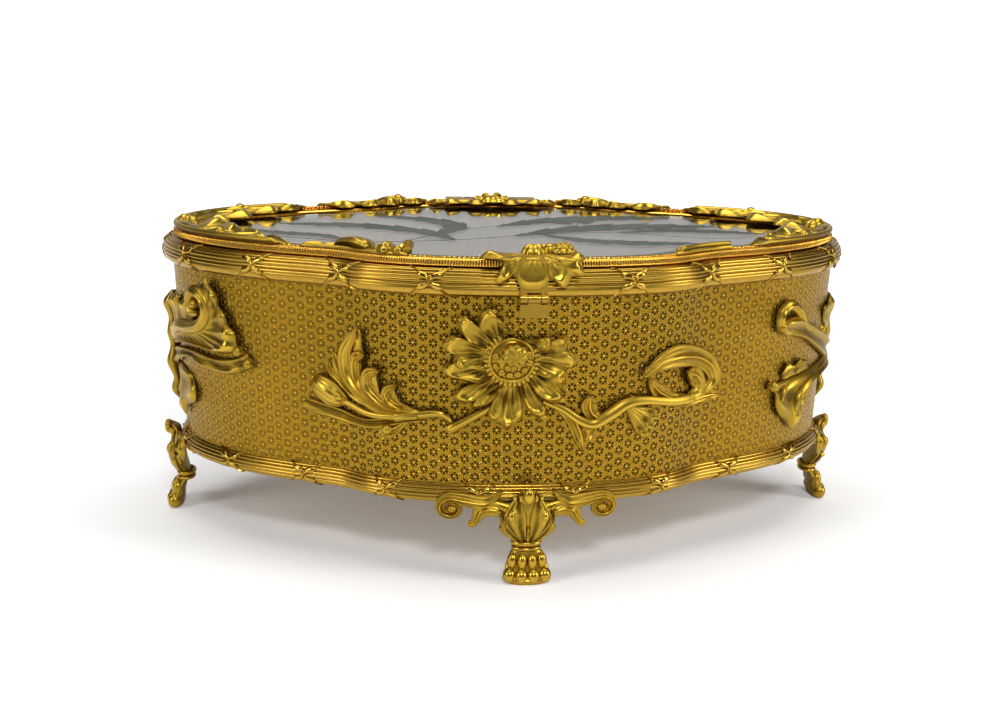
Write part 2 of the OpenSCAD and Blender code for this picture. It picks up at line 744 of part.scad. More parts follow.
// Flower over the back hinge, on a foot that clears the hinge leaf
module lid_back_flower() {
    up = hinge_leaf_t + mount_gap;
    rotate([0, 0, 180])
        color(gilt_cast)
            union() {
                bud(on_lid, [0, 10], 5, 4.4, 3.4, 0, 8, up);
                for (a = [0:45:315])
                    hull()
                        for (r = [4.4, 7])
                            translate(place(on_lid, r * cos(a), 10 + 0.9 * r * sin(a), up + 1.1))
                                sphere(1.3, $fn = 4);
                for (side = [-1, 1]) {
                    leaf(on_lid, [[side * 6, 9], [side * 15, 11], [side * 27, 8]], 4.4, 2.2, 3, 0, 7, up);
                    leaf(on_lid, [[side * 5, 14], [side * 10, 18], [side * 17, 21]], 3.6, 2.2, 2, 0, 6, up);
                }
            }
}

// Leaf runner along the back of the lid, to one side of the flower
module lid_runner(side) {
    rotate([0, 0, 180])
        color(gilt_cast)
            union() {
                stem(on_lid, [[side * 30, 3], [side * 48, 3], [side * 66, 3], [side * 80, 3]], 0.9, 1.2);
                leaf(on_lid, [[side * 34, 3.5], [side * 50, 10], [side * 64, 12]], 3.8, 2.2, 3, 1, 7);
                leaf(on_lid, [[side * 58, 3.5], [side * 71, 6.5], [side * 84, 5]], 3.4, 2.4, 3, 0.8, 7);
            }
}
module lid_back_left_leaf() { lid_runner(1); }
module lid_back_right_leaf() { lid_runner(-1); }

// Small leaf on the front right of the lid
module lid_front_right_leaf() {
    color(gilt_cast)
        union() {
            stem(on_lid, [[56, 3], [64, 2.8], [72, 2.8], [80, 3]], 0.8, 1.1);
            leaf(on_lid, [[57, 3.2], [70, 7.5], [82, 6]], 3, 2.2, 2, 0.8, 6);
        }
}

// Leaf over the clasp: lobes that hang from a bud on the lid, over the rim moulding
module clasp_leaf() {
    up = clasp_plate_t + mount_gap;
    color(gilt_cast)
        union() {
            bud(on_lid, [9, 7], 5.2, 4, 4.2, -15, 8, up);
            leaf(on_lid, [[4, 6], [-6, 6], [-19, 4]], 5.2, 2.6, 3, 0, 7, up);
            leaf(on_lid, [[4, 6], [12, 3.5], [19, 4]], 4, 2.4, 2, 0, 5, up);
            for (lobe = [[-11, 0.5], [-3.6, 0.9], [3.2, 1], [11, 0.8]])
                clasp_lobe(lobe[0], lobe[1]);
        }
}

// One hanging lobe: it comes off the lid's top, turns over and ends in a rounded swell
module clasp_lobe(x, drop) {
    half = 4.2;
    flat_part = 0.25;
    top = lid_top + clasp_plate_t + mount_gap + flat_part * half;
    lowest = clasp_pin_z + clasp_knuckle_d / 2 + run_gap + half;
    low = lid_top - drop * (lid_top - lowest);
    front = clasp_back - clasp_t - mount_gap - clasp_leaf_t / 2;
    pts = [
        [0.6 * x, -box_d / 2 + 2, top, flat_part],
        [0.8 * x, front, top, flat_part],
        [0.95 * x, front, 0.5 * (top + low), 0.8],
        [x, front, low, 1]
    ];
    for (i = [0:len(pts) - 2])
        hull()
            for (p = [pts[i], pts[i + 1]])
                translate([p[0], p[1], p[2]])
                    rotate([90, 0, 0])
                        scale([1, p[3], 1])
                            cylinder(r = half, h = clasp_leaf_t, center = true, $fn = 7);
}

// Bore or pin along the clasp's axis
module clasp_axis(d, w) {
    translate([0, clasp_pin_y, clasp_pin_z])
        rotate([0, 90, 0])
            cylinder(d = d, h = w, center = true, $fn = 24);
}

// Strap of the clasp: it is fixed on the lid frame and hangs outside the rim moulding
module clasp_strap() {
    reach = clasp_back - clasp_t;
    eye_top = clasp_pin_z + clasp_knuckle_d / 2 + run_gap;
    color(gilt)
        difference() {
            union() {
                translate([-clasp_w / 2, reach, lid_top])
                    cube([clasp_w, clasp_t + run_gap + 7.5, clasp_plate_t]);
                translate([-clasp_w / 2, reach, eye_top])
                    cube([clasp_w, clasp_t, lid_top + clasp_plate_t - eye_top]);
                for (side = [-1, 1])
                    translate([side * (clasp_w - clasp_eye_w) / 2, 0, 0]) {
                        clasp_axis(clasp_knuckle_d, clasp_eye_w);
                        translate([-clasp_eye_w / 2, reach, clasp_pin_z])
                            cube([clasp_eye_w, clasp_t, eye_top - clasp_pin_z + 0.5]);
                    }
            }
            clasp_axis(clasp_pin_d + fit_gap, clasp_w + 2);
        }
}

module clasp_pin() {
    color(steel)
        clasp_axis(clasp_pin_d, clasp_w);
}

// Flap that hangs from the strap, with a bare thumb plate
module clasp_flap() {
    middle_w = clasp_w - 2 * clasp_eye_w - 2 * run_gap;
    plate_y = clasp_pin_y - clasp_t / 2;
    shoulder = clasp_knuckle_d / 2 + run_gap;
    color(gilt)
        difference() {
            union() {
                clasp_axis(clasp_knuckle_d, middle_w);
                translate([-middle_w / 2, plate_y, clasp_pin_z - shoulder - 0.5])
                    cube([middle_w, clasp_t, shoulder + 0.5]);
                translate([-clasp_w / 2, plate_y, clasp_pin_z - clasp_flap_h])
                    cube([clasp_w, clasp_t, clasp_flap_h - shoulder]);
            }
            clasp_axis(clasp_pin_d + 2 * fit_gap, clasp_w + 2);
        }
}

// Nib on the wall under the rim moulding, which the flap snaps against
module clasp_nib() {
    z = clasp_pin_z - 0.55 * clasp_flap_h;
    face = box_d / 2 + wall_off(z) + fit_gap;
    flap_back = -clasp_pin_y - clasp_t / 2;
    color(steel)
        translate([0, -face, z])
            rotate([90, 0, 0])
                cylinder(d = 2.4, h = flap_back - run_gap - face, $fn = 24);
}

// Hinge: five knuckles on one pin, three on the body's leaf and two on the lid's
module hinge_seat(gap) {
    translate([-hinge_w / 2 - gap, box_d / 2 - hinge_seat_in - gap, rim_bottom - 1])
        cube([hinge_w + 2 * gap, hinge_seat_in + 3, rim_h + 2]);
}

module knuckle(i) {
    translate([-hinge_w / 2 + i * knuckle_w + run_gap / 2, hinge_y, hinge_z])
        rotate([0, 90, 0])
            cylinder(d = hinge_barrel_d, h = knuckle_w - run_gap, $fn = 32);
}

// Bore or pin along the hinge's axis
module hinge_axis(d, w) {
    translate([0, hinge_y, hinge_z])
        rotate([0, 90, 0])
            cylinder(d = d, h = w, center = true, $fn = 32);
}

module hinge_body_screw_bores() {
    for (x = hinge_screw_x)
        translate([x, box_d / 2 + 2, hinge_screw_z])
            rotate([90, 0, 0])
                cylinder(d = hinge_screw_d + fit_gap, h = hinge_seat_in + 4.4, $fn = 24);
}

module hinge_lid_screw_bores() {
    for (x = hinge_screw_x)
        translate([x, hinge_lid_screw_y, lid_top - 2.3])
            cylinder(d = hinge_screw_d + fit_gap, h = 5, $fn = 24);
}

// Leaf let into the rim moulding, with webs up to its three knuckles
module hinge_body_leaf() {
    front = box_d / 2 - hinge_seat_in;
    color(gilt)
        difference() {
            union() {
                translate([-hinge_w / 2, front, rim_bottom])
                    cube([hinge_w, hinge_plate_t, hinge_flat_z - rim_bottom]);
                for (i = [0:2:knuckles - 1]) {
                    knuckle(i);
                    translate([-hinge_w / 2 + i * knuckle_w + run_gap / 2, front + 1, hinge_flat_z - 2])
                        cube([knuckle_w - run_gap, hinge_y - front - 1, hinge_z - hinge_flat_z + 2]);
                }
            }
            hinge_axis(hinge_pin_d + fit_gap, hinge_w + 4);
            hinge_body_screw_bores();
        }
}

// Screw with a flat head on z = 0 and its shank downward
module screw(head_d, head_h, shank_h) {
    cylinder(d = head_d, h = head_h, $fn = 24);
    translate([0, 0, -shank_h])
        cylinder(d = hinge_screw_d, h = shank_h + head_h / 2, $fn = 24);
}

module hinge_body_screws() {
    color(steel)
        for (x = hinge_screw_x)
            translate([x, box_d / 2 - hinge_seat_in + hinge_plate_t, hinge_screw_z])
                rotate([-90, 0, 0])
                    screw(3, 0.7, hinge_plate_t + 0.9);
}

// Leaf on top of the lid frame, with two knuckles
module hinge_lid_leaf() {
    back = hinge_y - hinge_barrel_d / 2 - run_gap;
    front = hinge_lid_screw_y - 2.4;
    color(gilt)
        difference() {
            union() {
                translate([-hinge_w / 2, front, lid_top])
                    cube([hinge_w, back - front, hinge_leaf_t]);
                for (i = [1:2:knuckles - 2]) {
                    knuckle(i);
                    translate([-hinge_w / 2 + i * knuckle_w + run_gap / 2, back - 1, lid_top])
                        cube([knuckle_w - run_gap, hinge_y - back + 1, hinge_leaf_t]);
                }
            }
            hinge_axis(hinge_pin_d + 2 * fit_gap, hinge_w + 4);
            hinge_lid_screw_bores();
        }
}

module hinge_lid_screws() {
    color(steel)
        for (x = hinge_screw_x)
            translate([x, hinge_lid_screw_y, lid_top + hinge_leaf_t])
                screw(2.6, 0.2, hinge_leaf_t + 1.9);
}

module hinge_pin() {
    color(steel)
        hinge_axis(hinge_pin_d, hinge_w);
}

// Lining board that stands inside the wall, from the cushion board up to the rim's ledge
module lining() {
    color(silk)
        difference() {
            plate(lining_off, plate_top + board_t, ledge_top - flange_t);
            plate(lining_off - lining_t, plate_top, ledge_top);
        }
}

// Board under the cushion, with a hole over each foot nut
module cushion_board() {
    color(card)
        difference() {
            plate(wall_off(flange_top) - wall_t - 1, plate_top, plate_top + board_t);
            for (a = foot_turns)
                at_foot(a)
                    translate([0, foot_stud_in, plate_top - 1])
                        cylinder(d = 1.9 * foot_stud_d + 1, h = board_t + 2, $fn = 32);
        }
}

// Padded cushion with drawn-in sides and a crowned top
module cushion() {
    n = 40;
    half = n / 2;
    z0 = plate_top + board_t + run_gap;
    edge = lining_off - lining_t - run_gap;
    levels = [
        [-2.2, 1, 0], [-0.4, 1, 0.16], [0, 1, 0.36], [-0.6, 1, 0.58],
        [-2, 0.97, 0.72], [-2, 0.8, 0.86], [-2, 0.5, 0.96], [-2, 0.12, 1]
    ];
    rings = [
        for (k = levels)
            [for (i = [0:n - 1]) [each flat(i * 360 / n, edge + k[0]) * k[1], z0 + k[2] * cushion_h]]
    ];
    color(silk)
        polyhedron(
            points = [for (r = rings) each r],
            faces = concat(
                closing(n),
                [for (f = closing(n)) reverse([for (v = f) v + (len(rings) - 1) * n])],
                sides(len(rings), n)
            ),
            convexity = 6
        );
}

wall();
base_moulding();
rim_moulding();
bottom_plate();
front_foot();
back_foot();
left_foot();
right_foot();
foot_studs();
foot_nuts();
front_flower();
front_left_spray();
front_right_spray();
back_flower();
back_left_spray();
back_right_spray();
left_end_acanthus();
right_end_acanthus();
mount_studs();
mount_nuts();
hinge_body_leaf();
hinge_body_screws();
clasp_nib();
lining();
cushion_board();
cushion();
lid_frame();
lid_glass();
glass_retainer();
clasp_leaf();
clasp_strap();
clasp_pin();
lid_bud_spray();
lid_left_acanthus();
lid_right_acanthus();
lid_back_flower();
lid_back_left_leaf();
lid_back_right_leaf();
lid_front_right_leaf();
hinge_lid_leaf();
hinge_lid_screws();
hinge_pin();
clasp_flap();
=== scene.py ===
"""Gilt casket with a bevelled glass lid, cast flower mounts and four paw feet.

The file is laid out as an add-on and run as a script. Shapes are worked out in millimetres as whole
arrays and put into meshes in metres. The floor is z = 0 and the front faces -Y.
"""

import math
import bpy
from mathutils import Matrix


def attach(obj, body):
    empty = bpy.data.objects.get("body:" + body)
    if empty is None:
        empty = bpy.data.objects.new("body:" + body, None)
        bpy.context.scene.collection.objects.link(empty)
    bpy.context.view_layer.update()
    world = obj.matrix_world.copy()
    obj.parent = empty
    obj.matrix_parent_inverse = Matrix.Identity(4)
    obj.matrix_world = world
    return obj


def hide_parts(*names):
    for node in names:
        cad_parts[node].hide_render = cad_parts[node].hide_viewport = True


bl_info = {
    "name": "Glass Casket Box", "version": (1, 0, 0), "blender": (4, 5, 0),
    "location": "View3D > Sidebar > Casket",
    "description": "Dresses the packed frame of a gilt casket, piece by piece", "category": "Add Mesh"
}

import bpy
import numpy as np
from bpy.props import FloatProperty, FloatVectorProperty, IntProperty, PointerProperty
from bpy.types import Operator, Panel, PropertyGroup
from mathutils import Matrix, Vector

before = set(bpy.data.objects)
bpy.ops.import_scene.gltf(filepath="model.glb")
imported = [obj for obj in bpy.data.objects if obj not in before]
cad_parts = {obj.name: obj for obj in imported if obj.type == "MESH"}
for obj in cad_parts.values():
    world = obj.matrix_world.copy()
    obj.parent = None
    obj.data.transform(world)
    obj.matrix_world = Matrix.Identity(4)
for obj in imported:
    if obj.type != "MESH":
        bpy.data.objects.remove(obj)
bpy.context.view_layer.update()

MM = 0.001

# Sizes that the solid model has too, in millimetres
BOX_W = 260.0
BOX_D = 173.0
END_SWELL = 5.2
END_SQUARE = 12.5
BOW_SWELL = 8.7
BOW_SQUARE = 5.5
FLATS = 72
FOOT_H = 26.5
BASE_TOP = 33.5
FLANGE_TOP = 28.3
WALL_SHOW = 65.0
WALL_TOP = 102.0
WALL_MID = BASE_TOP + WALL_SHOW / 2
WALL_IN = 3.5
WALL_LEAN = 3.0
WALL_T = 1.5
LID_TOP = 110.3
GLASS_BOTTOM = 105.2
GLASS_EDGE_TOP = 108.0
GLASS_TOP = 109.0
GLASS_OFF = -7.7
BEVEL_W = 10.3
BEAD_OFF = -4.19
LINING_OFF = -13.0
HINGE_W = 40.0
HINGE_SEAT_IN = 2.3
WING_LONG = 30.0
WING_SHORT = 17.0

# No ornament of the lid goes above this
HIGHEST = 115.6


def length_value(name, description, default):
    return FloatProperty(name=name, description=description, default=default, unit="LENGTH", precision=5)


def count_value(name, description, default, low, high):
    return IntProperty(name=name, description=description, default=default, min=low, max=high)


def colour_value(name, description, default):
    return FloatVectorProperty(
        name=name, description=description, subtype="COLOR", size=3, default=default
    )


class CasketSizes(PropertyGroup):
    """Sizes of the ornament that the solid model leaves out"""

    rim_reeds: count_value("Rim reeds", "Reeds round the rim moulding", 7, 3, 12)
    base_reeds: count_value("Base reeds", "Reeds round the base moulding", 5, 3, 10)
    reed_depth: length_value("Reed depth", "Depth of the grooves between the reeds", 0.0006)
    ribbon_count: count_value("Ribbon crossings", "Crossed ribbons round each moulding", 20, 8, 48)
    flute_pitch: length_value("Flute pitch", "Length of one milled flute of the lid frame", 0.00095)
    pearl_pitch: length_value(
        "Pearl pitch", "Distance between the pearls along the lid frame's lip", 0.0017
    )
    floret_pitch: length_value("Floret pitch", "Distance between the stamped florets of the wall", 0.0042)
    dimple_depth: length_value("Dimple depth", "Depth of the dimple under each floret", 0.00016)


class CasketColours(PropertyGroup):
    """Colours of the finishes, in linear light"""

    matt_gold: colour_value("Matt gold", "Stamped ground", (0.40, 0.222, 0.014))
    cast_gold: colour_value("Cast gold", "Castings", (0.47, 0.30, 0.034))
    bright_gold: colour_value("Bright gold", "Mouldings", (0.44, 0.265, 0.036))
    red_gold: colour_value("Red gold", "Lid frame", (0.92, 0.50, 0.07))
    # Patina in the castings' hollows; also painted shade on their undersides and lower sides, and a painted
    # dark reflection in the wall's stamped petals
    patina_and_painted_shade: colour_value("Patina", "Darkened hollows", (0.07, 0.038, 0.005))
    silk: colour_value("Silk", "Lining and cushion", (0.52, 0.37, 0.20))
    # Dark grey of the etched frost: painted shade that makes the frost read darker than the clear glass
    # around it
    etch: colour_value("Etching", "Etched spray on the glass", (0.11, 0.12, 0.10))
    floor: colour_value("Floor", "Floor and backdrop", (0.90, 0.90, 0.90))


def plan_waves(t):
    """Plan line at angle t: a first, third and fifth wave along each axis, and its slope."""
    x1 = BOX_W / 2 - END_SWELL - END_SQUARE
    y1 = BOX_D / 2 + BOW_SWELL - BOW_SQUARE
    x = x1 * np.cos(t) + END_SWELL * np.cos(3 * t) + END_SQUARE * np.cos(5 * t)
    y = y1 * np.sin(t) + BOW_SWELL * np.sin(3 * t) + BOW_SQUARE * np.sin(5 * t)
    dx = -x1 * np.sin(t) - 3 * END_SWELL * np.sin(3 * t) - 5 * END_SQUARE * np.sin(5 * t)
    dy = y1 * np.cos(t) + 3 * BOW_SWELL * np.cos(3 * t) + 5 * BOW_SQUARE * np.cos(5 * t)
    return x, y, dx, dy


def plan(t, off):
    """Plan line moved off outward along its normal."""
    x, y, dx, dy = plan_waves(t)
    length = np.hypot(dx, dy)
    return x + off * dy / length, y - off * dx / length


def length_along(points):
    """Length along a chain up to each of its points."""
    return np.concatenate([[0.0], np.cumsum(np.linalg.norm(np.diff(points, axis=0), axis=1))])


# Length along the plan line from the middle of the front, against the plan angle
TURN_TABLE = np.radians(270 + 360 / FLATS * np.arange(FLATS // 2 + 1))
CORNERS = np.stack(plan(TURN_TABLE, 0.0), axis=1)
ARC_TABLE = length_along(CORNERS)
HALF_GIRTH = ARC_TABLE[-1]
END_S = HALF_GIRTH / 2


def turn_at(s):
    """Plan angle at the length s from the middle of the front, to the right."""
    s = (np.asarray(s, float) + HALF_GIRTH) % (2 * HALF_GIRTH) - HALF_GIRTH
    t = np.interp(np.abs(s), ARC_TABLE, TURN_TABLE)
    return np.where(s >= 0, t, 3 * math.pi - t)


def wall_off(z):
    """Offset of the wall's outer face at height z: it leans in downwards."""
    return -WALL_IN - WALL_LEAN * (WALL_TOP - z) / (WALL_TOP - FLANGE_TOP)


def stack(x, y, z):
    """Points from three arrays of one shape, or of shapes that spread to one."""
    return np.stack(np.broadcast_arrays(x, y, z), axis=-1)


def round_box(count):
    """Lengths along the plan line, in even steps right round from the middle of the back."""
    return np.linspace(-HALF_GIRTH, HALF_GIRTH, count, endpoint=False)


def full_turn(count):
    """Angles in even steps round a whole turn."""
    return np.linspace(0, 2 * math.pi, count, endpoint=False)


def mirrored(side, points):
    """The same points with the first value turned to one side, 1 or -1."""
    return [[side * x, y] for x, y in points]


def on_wall(s, v, h):
    """Place on the wall: s along the plan, v over its middle line, h off its face."""
    z = WALL_MID + v
    x, y = plan(turn_at(s), wall_off(z) + h)
    return stack(x, y, z)


def lid_surface(off):
    """Height of the lid's top at an offset: frame, bevel, flat glass."""
    return np.interp(off, [-18, -9.8, -9.5, -4.9], [GLASS_TOP, 108.5, 109.1, LID_TOP])


def on_lid(s, v, h):
    """Place on the lid: s along the plan, v inward from the rim line, h above the lid's top."""
    x, y = plan(turn_at(s), -v)
    return stack(x, y, np.minimum(lid_surface(-v) + h, HIGHEST))


def on_bead(s, z, h):
    """Place outside the base moulding: s along the plan, height z, h off its bead."""
    x, y = plan(turn_at(s), BEAD_OFF + h)
    return stack(x, y, z)


def turned(face):
    """The same face with the whole box turned half round."""

    def place(s, v, h):
        return face(s, v, h) * np.array([-1.0, -1.0, 1.0])

    return place


def smooth_step(x, low, high):
    """Rises from 0 at low to 1 at high with level ends; high may lie below low."""
    k = np.clip((x - low) / (high - low), 0, 1)
    return k * k * (3 - 2 * k)


def hump(x, middle, width):
    """Bell that is 1 at the middle and falls to 0.37 at one width from it."""
    return np.exp(-(((x - middle) / width) ** 2))


def smooth_line(points, fine=24):
    """Smooth curve through points: each span blends its four nearest points by cubic weights."""
    p = np.asarray(points, float)
    p = np.vstack([2 * p[0] - p[1], p, 2 * p[-1] - p[-2]])
    f = np.linspace(0, 1, fine, endpoint=False)[:, None]
    spans = []
    for i in range(1, len(p) - 2):
        a, b, c, d = p[i - 1 : i + 3]
        spans.append(
            0.5 * (
                2 * b + f * (c - a) + f**2 * (2 * a - 5 * b + 4 * c - d) + f**3 * (3 * b - a - 3 * c + d)
            )
        )
    line = np.vstack(spans + [p[-2:-1]])
    return line, length_along(line)


def eased(t, stops):
    """Value at t on the smooth curve through (share, value) stops."""
    line, _ = smooth_line(np.stack(stops, axis=1), 8)
    return np.interp(t, np.maximum.accumulate(line[:, 0]), line[:, 1])


def spine_at(points, t):
    """Point, left normal and length of a smooth curve at the share t of its length."""
    line, along = smooth_line(points)
    share = along / along[-1]
    step = 0.012

    def at(k):
        k = np.clip(k, 0, 1)
        return np.interp(k, share, line[:, 0]), np.interp(k, share, line[:, 1])

    x, y = at(t)
    x0, y0 = at(t - step)
    x1, y1 = at(t + step)
    dx, dy = x1 - x0, y1 - y0
    length = np.hypot(dx, dy) + 1e-9
    return x, y, -dy / length, dx / length, along[-1]


class Shells:
    """Closed surfaces gathered into one mesh, with a painted light value on each point: low in hollows, on
    undersides and on lower sides, where it stands for patina with painted shade, and high on crests and
    upper sides, where it stands for a painted highlight.
    """

    def __init__(self):
        self.points = []
        self.quads = []
        self.tris = []
        self.painted_light_and_patina = []
        self.count = 0

    def add(self, points, painted_light_and_patina, quads, tris):
        """Add one closed surface, and turn it if its enclosed volume comes out negative."""
        flat = points.reshape(-1, 3)
        volume = 0.0
        for faces in (quads[:, [0, 1, 2]], quads[:, [0, 2, 3]], tris):
            if len(faces):
                a, b, c = flat[faces[:, 0]], flat[faces[:, 1]], flat[faces[:, 2]]
                volume += np.einsum("ij,ij->i", a, np.cross(b, c)).sum()
        if volume < 0:
            quads = quads[:, ::-1]
            tris = tris[:, ::-1]
        self.points.append(flat)
        self.painted_light_and_patina.append(np.broadcast_to(painted_light_and_patina, points.shape[:-1]).reshape(-1))
        self.quads.append(quads + self.count)
        self.tris.append(tris + self.count)
        self.count += len(flat)

    def loft(self, rings, painted_light_and_patina=0.5):
        """Skin over rings of equal count, closed round and capped by a fan at each end."""
        m, n = rings.shape[:2]
        quads = grid_faces(m, n, True)
        ends = np.stack([rings[0].mean(0), rings[-1].mean(0)])
        points = np.concatenate([rings.reshape(-1, 3), ends])
        j = np.arange(n)
        first = np.stack([np.full(n, m * n), (j + 1) % n, j], axis=1)
        last = np.stack([np.full(n, m * n + 1), (m - 1) * n + j, (m - 1) * n + (j + 1) % n], axis=1)
        shade = np.broadcast_to(painted_light_and_patina, (m, n)).reshape(-1)
        shade = np.concatenate([shade, [shade[:n].mean(), shade[-n:].mean()]])
        self.add(points, shade, quads, np.concatenate([first, last]))

    def ring(self, grid, painted_light_and_patina=0.5):
        """Profile carried right round: closed both ways."""
        m, n = grid.shape[:2]
        quads = grid_faces(m, n, True, True)
        self.add(grid.reshape(-1, 3), np.broadcast_to(painted_light_and_patina, (m, n)).reshape(-1), quads, NO_TRIS)


def grid_faces(m, n, round_columns=False, round_rows=False):
    """Quads of an m by n grid, closed across the columns or rows where asked."""
    i = np.arange(m if round_rows else m - 1)[:, None]
    j = np.arange(n if round_columns else n - 1)[None, :]
    i1 = (i + 1) % m
    j1 = (j + 1) % n
    corners = np.broadcast_arrays(i * n + j, i1 * n + j, i1 * n + j1, i * n + j1)
    return np.stack([c.reshape(-1) for c in corners], axis=1)


NO_TRIS = np.zeros((0, 3), int)


def build_mesh(name, points, quads, tris=NO_TRIS, painted_light_and_patina=None, uv=None, sharp=None):
    """Mesh in metres from arrays in millimetres, smooth, with an attribute of painted light and patina and a
    UV map.
    """
    mesh = bpy.data.meshes.new(name)
    mesh.from_pydata((points * MM).tolist(), [], quads.tolist() + tris.tolist())
    mesh.polygons.foreach_set("use_smooth", np.ones(len(mesh.polygons), bool))
    if sharp is not None:
        mesh.set_sharp_from_angle(angle=math.radians(sharp))
    # The attribute is painted light: patina with painted shade where it is low, a painted highlight where it
    # is high
    if painted_light_and_patina is not None:
        layer = mesh.attributes.new("painted_light_and_patina", "FLOAT", "POINT")
        layer.data.foreach_set("value", painted_light_and_patina.astype(np.float32))
    if uv is not None:
        corner = np.zeros(len(mesh.loops), np.int32)
        mesh.loops.foreach_get("vertex_index", corner)
        layer = mesh.uv_layers.new(name="along")
        layer.data.foreach_set("uv", uv[corner].astype(np.float32).reshape(-1))
    mesh.validate()
    mesh.update()
    return mesh


def add_object(name, mesh, finish, body, slot, *nodes):
    """Object at the origin that rides on a body and stands for the named nodes."""
    piece = bpy.data.objects.new(name, mesh)
    bpy.context.scene.collection.objects.link(piece)
    piece.data.materials.append(finish)
    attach(piece, body)
    if nodes:
        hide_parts(*nodes)
    return piece


def add_shells(name, shells, finish, body, slot, *nodes, sharp=None):
    mesh = build_mesh(
        name, np.concatenate(shells.points), np.concatenate(shells.quads), np.concatenate(shells.tris),
        painted_light_and_patina=np.concatenate(shells.painted_light_and_patina), sharp=sharp
    )
    return add_object(name, mesh, finish, body, slot, *nodes)


# Outlines of leaves and stems: half width against the share of the length, from root to tip
FINGER = ([0, 0.12, 0.35, 0.6, 0.8, 0.93, 1], [0.34, 0.45, 0.8, 1, 0.82, 0.45, 0.08])
STRAP = ([0, 0.1, 0.5, 0.85, 1], [0.7, 0.9, 1, 0.85, 0.45])
STEM = ([0, 0.04, 0.1, 0.9, 0.96, 1], [0.3, 0.8, 1, 1, 0.8, 0.3])
EGG = ([0, 0.08, 0.3, 0.55, 0.8, 0.95, 1], [0.35, 0.7, 1, 0.98, 0.75, 0.4, 0.12])
UNDER_DROP = 0.05
# Painted shade given to the undersides of the castings
UNDER_SHADE = 0.1


def cast_sheet(shells, face, x, y, low, rise, shade):
    """Closed casting: the relief on top, and under it a few columns that run back to the first edge."""
    rows, columns = x.shape
    under = [columns - 2, 3 * columns // 4, columns // 2, columns // 4, 1]
    top = face(x, y, low + rise)
    bottom = face(x[:, under], y[:, under], low[:, under] - UNDER_DROP)
    # The underside columns get the painted shade value
    shade = np.concatenate([np.clip(shade, 0, 1), np.full((rows, len(under)), UNDER_SHADE)], axis=1)
    shells.loft(np.concatenate([top, bottom], axis=1), shade)


def rounded_columns(columns):
    """Places across from -1 to 1 that close up towards the edges, as a quarter wave to each side."""
    return np.sin(0.5 * math.pi * np.linspace(-1, 1, columns))[None, :]


def leaf(
    shells, face, spine, width, height, outline=FINGER, sides=0, reeds=2.0, lip=0.3, lift=0.0, base=0.25,
    hollow=0.3, rows=44, columns=27
):
    """Cast leaf. Across, w runs from -1 to 1 and the edge is rounded; along, t runs to the tip and falls
    back a little at the edge. The height sums a rounded body, a trough on both sides of a midrib, fine
    reeds that run along, grooves between the side lobes and a swelling lip at the tip."""
    t = np.linspace(0, 1, rows)[:, None]
    w = rounded_columns(columns)
    side = np.abs(w)
    fall, notch, sweep = 0.05, 0.35, 0.8 if sides else 0.2
    body_high, rib_high, reed_high, cut_deep, least = 0.62, 0.2, 0.045, 0.45, 0.08
    reach = t * (1 - fall * side**3)
    groove = np.abs(np.cos(math.pi * sides * reach)) ** 8 if sides else np.zeros_like(reach)
    groove = groove * smooth_step(reach, 0.06, 0.2) * (1 - smooth_step(reach, 0.88, 0.98))
    half = width * eased(reach, outline) * (1 - notch * groove)
    length = spine_at(spine, np.array([0.0]))[4]
    swept = np.clip(reach + sweep * side**1.5 * width / length * np.sin(math.pi * reach), 0, 1)
    x, y, nx, ny, _ = spine_at(spine, swept)
    edge = (1 - side**3) ** 0.6
    body = body_high * edge
    trough = -hollow * hump(side, 0.44, 0.3) * smooth_step(reach, 0.1, 0.4)
    midrib = rib_high * hump(w, 0, 0.12) * (1 - smooth_step(reach, 0.7, 0.92))
    fine = reed_high * np.cos(2 * math.pi * reeds * side) * edge * smooth_step(reach, 0.02, 0.2)
    fine = fine * (1 - 0.7 * smooth_step(reach, 0.65, 0.9))
    curl = lip * hump(reach, 0.86, 0.1) * (0.45 + 0.55 * side) * edge**0.5
    cut = -cut_deep * groove * side
    crest = body + trough + midrib + fine + curl + cut
    crest = crest * (0.5 + 0.5 * smooth_step(reach, 0, 0.25)) * (1 - 0.5 * smooth_step(reach, 0.94, 1))
    low = base + lift * reach**2 + 0 * w
    # Painted light: troughs, cuts and falling edges darker, midrib, reeds, lip and body lighter
    shade = 0.25 + 0.9 * (trough + midrib + 1.6 * fine + curl + cut) + 0.45 * edge
    x, y = x + nx * w * half, y + ny * w * half
    cast_sheet(shells, face, x, y, low, height * np.maximum(crest, least), shade)


